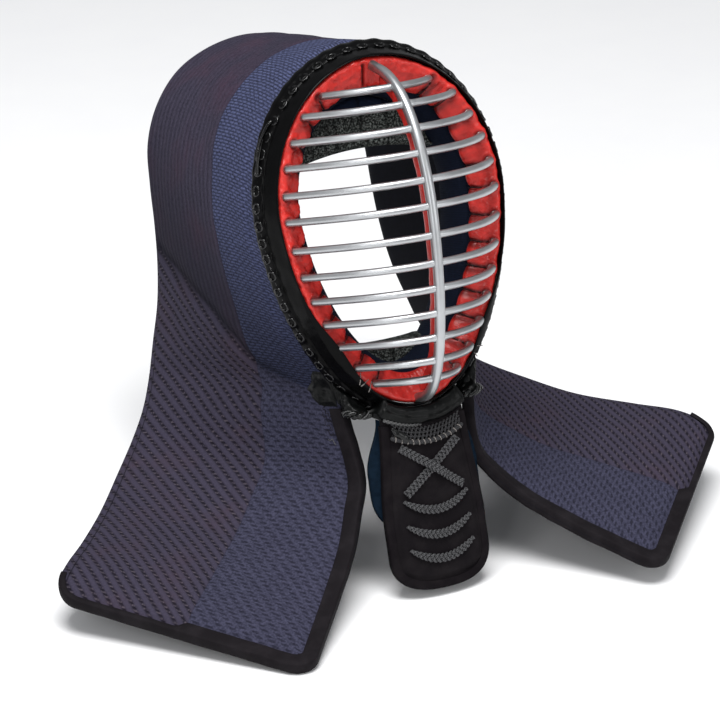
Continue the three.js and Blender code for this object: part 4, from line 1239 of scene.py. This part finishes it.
BAND_SECTION = rounded([
    (0.3, 14), (0.3, -0.7), (0.9, -1.0), (1.7, -0.2), (3.0, 3.6), (4.6, 8.0), (5.6, 11.2), (5.9, 12.4),
    (7.5, 12.9), (9.0, 15.6), (10.2, 19.0), (10.8, 21.6), (10.2, 23.4), (2, 23.5), (0.4, 22),
], 2)
LOOP_PITCH = 11.6
LOOP_OUT, LOOP_BACK = 9.3, 17.0
LOOP_SUNK_IN, LOOP_SUNK_FORWARD = 2.1, 3.4  # at the crown
LOOP_WIDE, LOOP_TALL = 3.0, 2.7
LOOP_RADIUS = 0.8
TIE_RADIUS = 0.6
CROWN_SWELL = 1.3
CHEEK_LAP = 5
CHEEK_LEVEL = -78  # where the band laps furthest over the lining, beside the chin
GUARD_SECTION = rounded([
    (2.2, -3.4), (12.4, -4.2), (15.3, -2.4), (15.5, 4), (15.5, 16.3), (13, 16.5), (9.6, 14), (5, 6), (2.8, 2),
], 3)


def crownwards(level):
    """0 up to the eyes, 1 at the crown."""
    return smooth((level - 30) / 80)


def rim_band():
    """Black band with a sewn edge roll, and the row of loops that ties it to the hood."""
    share, out, back = round_ring(BAND_SECTION, full_ring(760))
    run = share * RING_HALF_LENGTH
    loops = int(round(2 * RING_HALF_LENGTH / LOOP_PITCH))
    roll = smooth((out - 6) / 1.5)
    beat = 0.45 * np.cos(share * loops * np.pi)
    soft = hills(run, out * 2 + 30, (0.45, 12, 51), (0.15, 5, 52))
    swell = roll * beat + soft * (1 - 0.5 * roll) * smooth((out - 0.8) / 1.5)
    level = rim_point(share, 0, 0)[..., 2]
    lip = np.where(back < 1, 1 - smooth((out - 0.5) / 2.4), 0) * bell(level - CHEEK_LEVEL, 24)
    crown = crownwards(level) * smooth((out - 8.6) / 1.4)
    out = out + 0.75 * swell - CHEEK_LAP * lip + CROWN_SWELL * crown
    shape = Shape()
    shape.grid(rim_point(share, out, back - 0.55 * swell - 1.5 * lip), closed_rows=True, closed_cols=True)
    turn = np.linspace(0, 2 * np.pi, 20, endpoint=False)
    tie = np.linspace(-1, 1, 8)
    random = np.random.RandomState(5)
    for i in range(loops):
        place = 2 * i / loops + random.uniform(-0.6, 0.6) / RING_HALF_LENGTH
        wide, tall = LOOP_WIDE + random.uniform(-0.25, 0.25), LOOP_TALL + random.uniform(-0.3, 0.3)
        u, w = wide * np.cos(turn), tall * np.sin(turn)
        rise = 0.55 + 0.25 * np.cos(2 * turn + random.uniform(-1, 1))
        sunk = crownwards(rim_point(place, 0, 0)[2])
        out, back = LOOP_OUT - LOOP_SUNK_IN * sunk, LOOP_BACK - LOOP_SUNK_FORWARD * sunk
        outs, backs = out + w * 0.42 + rise * 0.6, back + w * 0.9 - rise * 0.5
        path = rim_point(place + u / RING_HALF_LENGTH, outs, backs)
        shape.rod(path, LOOP_RADIUS, sides=10, closed=True, finish=1)
        place += (LOOP_PITCH / 2 + 3.6 * tie) / RING_HALF_LENGTH
        path = rim_point(place, out - 0.7 - 0.3 * tie**2, back + 0.5 * tie + random.uniform(-0.3, 0.3))
        shape.rod(path, TIE_RADIUS, sides=7, finish=1)
    # The two ends of the lacing, crossed over each other high on the wearer's right
    t = np.linspace(0, 1, 22)
    for lift, lean, start in ((1.0, 0.8, 1.645), (1.9, -0.9, 1.672)):
        out = LOOP_OUT + 0.4 + lift * np.sin(np.pi * t) ** 0.6
        back = LOOP_BACK + lean * (2 * t - 1) * 2 - 0.6 * np.sin(np.pi * t)
        shape.rod(rim_point(start + 0.078 * t, out, back), 1.35, sides=10, flat=0.75, finish=1)
    finishes = [black_lacquer("black_lacquer", 0.2, 0.06), black_lacquer("loop_lacquer", 0.06, 0.4)]
    wear(shape, "rim_band", finishes)


def chin_guard():
    """Leather bar under the chin, folded and creased, with the lacing's thread along its lower edge."""
    share, out, back = round_ring(GUARD_SECTION, np.linspace(1 - CHIN_SPAN, 1 + CHIN_SPAN, 110))
    run = (share - 1) * RING_HALF_LENGTH
    folds = 0.8 * soft_noise(run + 200, out * 0.6 + back * 0.8 + 90, 6, 61)
    folds += 0.35 * soft_noise(run + 200, out + back + 90, 2.6, 62)
    crease = 0.9 * bell(out - 9 + 0.05 * run, 1.2)
    end = smooth((CHIN_SPAN * RING_HALF_LENGTH - np.abs(run)) / 3)
    lift = (folds - crease) * smooth((2 - back) / 5) * end
    shape = Shape()
    points = rim_point(share, out - (1 - end) * 2.2, back - lift + (1 - end) * 2.6)
    shape.grid(points, closed_cols=True, caps=True)
    t = np.linspace(0, 1, 60)
    for phase in (t * 30, t * 30 + np.pi):
        back = -1.6 - 0.6 * np.cos(phase) - 1.2 * np.sin(np.pi * t)
        path = rim_point(1.008 + 0.066 * t, CHIN_REACH + 0.1 + 0.5 * np.sin(phase), back)
        shape.rod(path, 0.9, sides=7, finish=1)
    wear(shape, "chin_guard", [LEATHER, GREY_THREAD])


# Pads inside

def pad_ring():
    """Padded ring that the face sits in, sewn into cushions."""
    front = LINING_SLOPE + LINING_THICKNESS * 0.3 + 0.3
    middle, half = (PAD_RING_OUTER + PAD_RING_INNER) / 2, (PAD_RING_INNER - PAD_RING_OUTER) / 2
    section = rounded([
        (-middle + half * 0.6, front), (-middle - half * 0.4, front), (-middle - half * 0.9, front + 8),
        (-middle - half, (front + PAD_RING_BACK) / 2), (-middle - half * 0.8, PAD_RING_BACK - 6),
        (-middle, PAD_RING_BACK), (-middle + half * 0.8, PAD_RING_BACK - 6), (-middle + half, front + 8),
    ], 2)
    share, out, back = round_ring(section, full_ring(8 * RING_CUSHIONS))
    points = rim_point(share, out, back)
    seam_gap = np.mod(share * RING_CUSHIONS / 2 + 0.5, 1) - 0.5
    seam = bell(seam_gap * 2 * RING_HALF_LENGTH / RING_CUSHIONS, 1.6)
    held = np.maximum(seam, smooth((30 - back) / 8))
    offset = swollen(points, held, pressure=2.0, most=2.0, closed_rows=True)
    rows = 20 * RING_CUSHIONS
    fine, mark = (finer_grid(values, rows, 64, closed_rows=True) for values in (points + offset, seam))
    shape = Shape()
    shape.grid(fine, closed_rows=True, closed_cols=True, seam=mark)
    wear(shape, "pad_ring", [cotton("indigo_cotton", (9, 12, 19), (24, 31, 48))])


def inner_pad(name, level, inset, arch, cloth_edge):
    """Velvet cushion between the pad ring and one level, sewn through in upright seams, with a cloth edge."""
    above = level > 0
    corner = float(share_at(level, inset))
    rows, cols = 120, 56
    share = np.linspace(-corner if above else corner, corner if above else 2 - corner, rows)
    edge = rim_point(share, -inset, 0)
    free = level + arch * (1 - (edge[:, 0] / edge[0, 0]) ** 2)
    middle, half = (edge[:, 2] + free) / 2, np.abs(edge[:, 2] - free) / 2
    depth = (INNER_PAD_BACK - INNER_PAD_FRONT) / 2
    turn = np.linspace(0, 2 * np.pi, cols, endpoint=False)
    waves = (np.sin(turn), np.cos(turn))
    up, fore = (np.sign(wave) * np.abs(wave) ** INNER_PAD_SQUARENESS for wave in waves)
    thin = np.minimum(1, half / 3 + 0.7)
    points = np.stack([
        np.broadcast_to(edge[:, :1], (rows, cols)),
        INNER_PAD_FRONT + depth - fore * depth * thin[:, None],
        middle[:, None] + up * half[:, None],
    ], -1)
    gap = (np.mod(points[..., 0] / INNER_SEAM_STEP + 0.5, 1) - 0.5) * INNER_SEAM_STEP
    seam = bell(gap, 1.3)
    rear = smooth((points[..., 1] - INNER_PAD_FRONT - depth) / 4)
    offset = swollen(points, np.maximum(seam, rear * 0.8), pressure=2.6, most=2.4)
    fine, mark = (finer_grid(values, 216, 2 * cols) for values in (points + offset, seam))
    cloth = smooth((fine[..., 2] - cloth_edge) / (1.2 if above else -1.2))
    shape = Shape()
    shape.grid(fine, closed_cols=True, caps=True, seam=mark, cloth=cloth)
    wear(shape, name, [VELVET])


# Throat

BRAID_PITCH = 10.5
BRAID_RISE = 0.9
NET_TIES = 13
LACING_TWIST = 2 / 5.2
THROAT_BINDING_SECTION = rounded([
    (-1.7, -2.2), (-1.7, 2.2), (0, 3.1), (4.6, 3.4), (4.9, 2.9), (1, 2.4), (-0.7, 1.6), (-0.7, -1.6), (1, -2.4),
    (4.9, -2.9), (4.6, -3.4), (0, -3.1),
], 2)


def chin_edge_level(x):
    """Level of the chin guard's lower edge at a distance from the middle."""
    edge = rim_point(np.linspace(0.7, 1, 600), CHIN_REACH, 0)
    return np.interp(np.abs(x), edge[::-1, 0], edge[::-1, 2])


def tongue_point(drop, v, half_width, bottom, round_end, back):
    """Middle surface of a tongue-shaped sheet: drop runs from its top to its end, v from side to side."""
    x = v * (THROAT_TOP_HALF_WIDTH + (half_width - THROAT_TOP_HALF_WIDTH) * smooth(drop / THROAT_SPREAD))
    top = chin_edge_level(x) - 0.6
    round_share = np.maximum(0, 1 - np.abs(v) ** THROAT_SQUARENESS) ** (1 / THROAT_SQUARENESS)
    low = bottom + round_end * (1 - round_share)
    curve = THROAT_CURVE * (x / THROAT_HALF_WIDTH) ** 2
    return np.stack([x, back + curve, top + (low - top) * drop], -1)


def tongue_skin(place, relief, thickness, edge, reach, rows, cols):
    """Closed shell over a tongue; relief gives its front's height from the middle points and their way in."""
    drops = 1 - (1 - np.linspace(0, 1, rows)) ** 1.3
    drop, v = crossed(drops, np.sin(np.linspace(-np.pi / 2, np.pi / 2, cols)))
    middle, end, rim = place(drop, v), place(np.ones_like(v), v), place(drop, np.sign(v) + (v == 0))
    way_in = np.minimum(np.abs(middle[..., 0] - rim[..., 0]), middle[..., 2] - end[..., 2])
    half = (edge + (thickness - edge) * smooth((way_in - reach) / 4)) / 2
    front = middle + (0, -1, 0) * (half + relief(middle[..., 0], middle[..., 2] + 300, way_in))[..., None]
    rear = middle + (0, 1, 0) * half[..., None]
    shape = Shape()
    shape.grid(np.concatenate([front, rear[:, ::-1]], 1), closed_cols=True, caps=True)
    return shape


def throat_place(drop, v):
    return tongue_point(drop, v, THROAT_HALF_WIDTH, THROAT_BOTTOM, THROAT_ROUND, 0)


def guard_place(drop, v):
    back = THROAT_THICKNESS / 2 + GUARD_THICKNESS / 2 + 1
    return tongue_point(drop, v, GUARD_HALF_WIDTH, GUARD_BOTTOM, GUARD_ROUND, back)


def throat_flap():
    """Leather tongue below the chin, softly uneven inside its binding."""
    def relief(x, z, way_in):
        return hills(x + 60, z, (0.5, 16, 71), (0.2, 5, 72)) * smooth((way_in - 3) / 3)

    shape = tongue_skin(throat_place, relief, THROAT_THICKNESS, THROAT_EDGE, 5.5, 150, 90)
    hide = leather("throat_leather", (15, 12, 15), (25, 22, 24), 0.8, 0.9, creases=0.1, gloss=0.08)
    wear(shape, "throat_flap", [hide])


def throat_binding():
    """Folded strip down both sides and round the end of the throat flap."""
    down = np.linspace(0.045, 1, 90)
    across = (2 * eased(130) - 1)[1:-1]
    drop = np.concatenate([down, 1 + 0 * across, down[::-1]])
    path = throat_place(drop, np.concatenate([-1 + 0 * down, across, 1 + 0 * down]))
    normal = np.broadcast_to([0.0, -1.0, 0.0], path.shape)
    inward = inward_along(path, normal, throat_place(0.55, 0.0))
    hide = leather("throat_edge_leather", (16, 13, 16), (26, 23, 25), 0.8, 0.9, creases=0.1, gloss=0.05)
    edge_strip("throat_binding", path, inward, normal, THROAT_BINDING_SECTION, hide)


def inner_throat_guard():
    """Crinkled cotton tongue behind the throat flap."""
    def relief(x, z, way_in):
        return soft_noise(x * 0.6 + 60, z, 7, 81) + 0.7 * soft_noise(x + 60, z, 3, 82)

    shape = tongue_skin(guard_place, relief, GUARD_THICKNESS, 3.2, 0, 120, 80)
    cloth = cotton("guard_cotton", (4, 9, 16), (20, 38, 55))
    wear(shape, "inner_throat_guard", [cloth])


def throat_front(x, lift=0.0):
    """How far forward a cord's middle lies on the throat flap, with a lift off it."""
    forward = THROAT_THICKNESS / 2 + 0.35 + CORD_THICKNESS / 2 + lift
    return THROAT_CURVE * (x / THROAT_HALF_WIDTH) ** 2 - forward


def braid(shape, line, width, radius):
    """Three pairs of cords plaited along a line; the plait's flat side faces forward."""
    run = run_of(line)
    along, across, top = frames_along(line, (0, -1, 0))
    for strand in range(3):
        phase = 2 * np.pi * (run / BRAID_PITCH + strand / 3)
        rise = BRAID_RISE * np.sin(2 * phase)
        for side in (-1, 1):
            out = (width / 2 - radius) * np.sin(phase + 0.33 * side)
            path = line + across * out[:, None] + top * rise[:, None]
            shape.rod(path, radius * 0.72, sides=7, up=(0, -1, 0), flat=0.85)


def throat_rows():
    """Three bowed plaits, narrower towards their ends."""
    t = np.linspace(-1, 1, 220)
    x = t * ROW_HALF_WIDTH
    for i, level in enumerate(ROW_LEVELS):
        shape = Shape()
        line = np.stack([x, throat_front(x), level - ROW_SAG * (1 - t * t)], -1)
        braid(shape, line, CORD_WIDTH * (1 - 0.6 * np.abs(t) ** 3), 0.72)
        wear(shape, f"throat_cord_row_{i + 1}", [CORD])


def throat_cross():
    """Two straight plaits, one lifted over the other where they cross."""
    middle, half = (CROSS_TOP + CROSS_BOTTOM) / 2, (CROSS_TOP - CROSS_BOTTOM) / 2
    t = np.linspace(-1, 1, 170)
    run = np.abs(t) * np.hypot(half, CROSS_HALF_WIDTH)
    over = (CORD_THICKNESS + 0.3) * (1 - smooth((run - CORD_WIDTH) / CORD_WIDTH))
    for side, lift, name in ((-1, 0 * over, "throat_cord_cross_under"), (1, over, "throat_cord_cross_over")):
        x = side * t * CROSS_HALF_WIDTH
        shape = Shape()
        braid(shape, np.stack([x, throat_front(x, lift), middle - t * half], -1), CORD_WIDTH, 0.8)
        wear(shape, name, [CORD])


def throat_net():
    """Net of cord under the chin guard, with a bound cord along its lower edge and a crumpled leather end."""
    shape = Shape()
    half = THROAT_TOP_HALF_WIDTH - 5.5
    t = np.linspace(-1, 1, 200)
    x = t * half
    top_level = chin_edge_level(x) - TOP_CORD_GAP - 1.6
    for strand in range(6):
        row = strand // 2
        phase = t * 27 + strand * np.pi + row
        z = top_level - 2.9 * row + 1.9 * np.sin(phase)
        path = np.stack([x, throat_front(x, 0.2 + 0.6 * np.cos(phase)), z], -1)
        shape.rod(path, 0.62, sides=7, up=(0, -1, 0))
    x = t * (half + 1)
    line = np.stack([x, throat_front(x, 0.6), chin_edge_level(x) - TOP_CORD_GAP - 10.2], -1)
    shape.rod(line, 1.6, sides=12, up=(0, -1, 0))
    along, across, top = frames_along(line, (0, -1, 0))
    turn, lean = np.linspace(-1.9, 1.9, 12)[:, None], np.linspace(-0.8, 0.8, 12)[:, None]
    for i in range(NET_TIES):
        k = int((i + 0.5) * len(line) / NET_TIES)
        ring = np.cos(turn) * top[k] + np.sin(turn) * across[k]
        shape.rod(line[k] + ring * 1.75 + along[k] * lean, 0.42, sides=6, finish=1)
    u, w = crossed(np.linspace(-1, 1, 26), np.linspace(0, 2 * np.pi, 22, endpoint=False))
    folds = hills(u * 9 + 30, np.sin(w) * 4 + 9, (0.28, 2.6, 91))
    girth = 3.0 * np.sqrt(np.maximum(1 - u**4, 0.02)) * (1 + folds)
    x = -22 + 6.0 * u + 0.8 * np.sin(3 * u)
    z = chin_edge_level(x) - 8.4 - 2.2 * u + np.sin(w) * girth
    y = throat_front(x, 1.6) - np.cos(w) * girth * 0.62
    shape.grid(np.stack([x, y, z], -1), closed_cols=True, caps=True, finish=2)
    net = cord_yarn("net_yarn", (13, 13, 14), (66, 66, 68))
    wear(shape, "throat_cord_top", [net, LIGHT_THREAD, SHINY_LEATHER])


def lacing(side, name):
    """Twisted leather lacing from beside the chin guard to the hood's front edge, with its folded leather."""
    start = rim_point(1 - CHIN_SPAN, CHIN_REACH, 0)
    end_out, end_level = FLAP_HEAD[0], FLAP_HEAD[1] - 2
    line = spline([
        (start[0] + LACING_RADIUS - 1.4, 6, start[2] + 2),
        ((start[0] + end_out) / 2 + LACING_RADIUS, 6, start[2] + 3),
        (end_out + 2, 10, end_level),
        (end_out, HOOD_FRONT - PAD_EDGE / 2, end_level),
    ], 70) * (side, 1, 1)
    run = run_of(line)
    along, across, top = frames_along(line, (0, 0, 1))

    def twisted(phase, reach):
        angle = (run * LACING_TWIST + phase)[:, None]
        return line + (across * np.cos(angle) + top * np.sin(angle)) * reach

    shape = Shape()
    for phase in (0, np.pi):
        shape.rod(twisted(phase, 1.45), 1.7 + 0.18 * np.sin(run * 1.7), sides=12)
    a, b = crossed(np.linspace(0, 1, 50), np.linspace(0, 1, 30))
    upper = rim_point(1 - CHIN_SPAN - 0.012 - 0.085 * a, 9.5, 17 + 3 * a) * (side, 1, 1)
    lower = line[np.linspace(0, len(line) - 1, 50).astype(int)][:, None] - (0, 0, 1.5)
    web = upper * (1 - b[..., None]) + lower * b[..., None]
    normal = grid_normals(web)
    normal *= np.where(normal[..., 1:2] > 0, -1, 1)
    folds = 1.1 * soft_noise(a * 26 + 40, b * 20 + 30, 5.5, 95) + 0.5 * soft_noise(a * 26, b * 20, 2.4, 96)
    rim = smooth(np.minimum(np.minimum(a, 1 - a) * 12, np.minimum(b, 1 - b) * 6))
    front = web + normal * (0.3 + (1.3 + folds) * rim)[..., None]
    rear = web - normal * 0.3
    shape.grid(np.concatenate([front, rear[:, ::-1]], 1), closed_cols=True, caps=True, finish=2)
    shape.rod(twisted(np.pi / 2, 2.5), 0.5, sides=6, finish=1)
    wear(shape, name, [SHINY_LEATHER, GREY_THREAD, LEATHER])


def set_floor():
    """A sheet of pale paper just under the part's lowest point."""
    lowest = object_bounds()[0][2] - 0.0005
    shape = bpy.data.meshes.new("floor")
    reach = 6
    corners = [(-reach, -reach), (reach, -reach), (reach, reach), (-reach, reach)]
    shape.from_pydata([(x, y, lowest) for x, y in corners], [], [(0, 1, 2, 3)])
    floor = bpy.data.objects.new("floor", shape)
    paper = Finish("pale_paper", Roughness=0.9)
    grain = paper.noise(60)
    shape.materials.append(paper.surface(
        Base_Color=paper.blend(grain, (0.9, 0.9, 0.91, 1), (0.93, 0.93, 0.93, 1)),
    ))
    bpy.context.scene.collection.objects.link(floor)


set_camera()
set_studio()

LEATHER = leather("black_leather", (5, 6, 6), (18, 19, 19), 0.42, coat=0.08, gloss=0.1)
SHINY_LEATHER = leather("shiny_leather", (7, 8, 8), (20, 21, 21), 0.22, coat=0.3, creases=0.4)
BINDING = leather("dark_binding", (20, 17, 20), (30, 27, 30), 0.75, 0.9, creases=0.08, gloss=0.08)
DARK_THREAD = cord_yarn("dark_thread", (8, 6, 8), (26, 18, 20))
GREY_THREAD = cord_yarn("grey_thread", (46, 47, 48), (104, 104, 104))
LIGHT_THREAD = cord_yarn("pale_thread", (84, 80, 78), (150, 144, 140))
CORD = cord_yarn("braided_cord", (20, 20, 22), (96, 96, 98))
VELVET = velvet()

padded_hood()
for side, which in ((1, "left"), (-1, "right")):
    flap_binding(side, "hood_binding_" + which)
    corner_patch(side, "corner_patch_" + which)
    lacing(side, "lacing_" + which)
face_grille()
centre_strip()
rim_lining()
rim_band()
chin_guard()
pad_ring()
inner_pad("forehead_pad", FOREHEAD_LEVEL, PAD_RING_INNER - 0.4, FOREHEAD_ARCH, 84)
inner_pad("chin_pad", CHIN_LEVEL + CHIN_PAD_LIFT, PAD_RING_INNER - 3, CHIN_ARCH, -118)
throat_flap()
throat_binding()
inner_throat_guard()
throat_rows()
throat_cross()
throat_net()
set_floor()
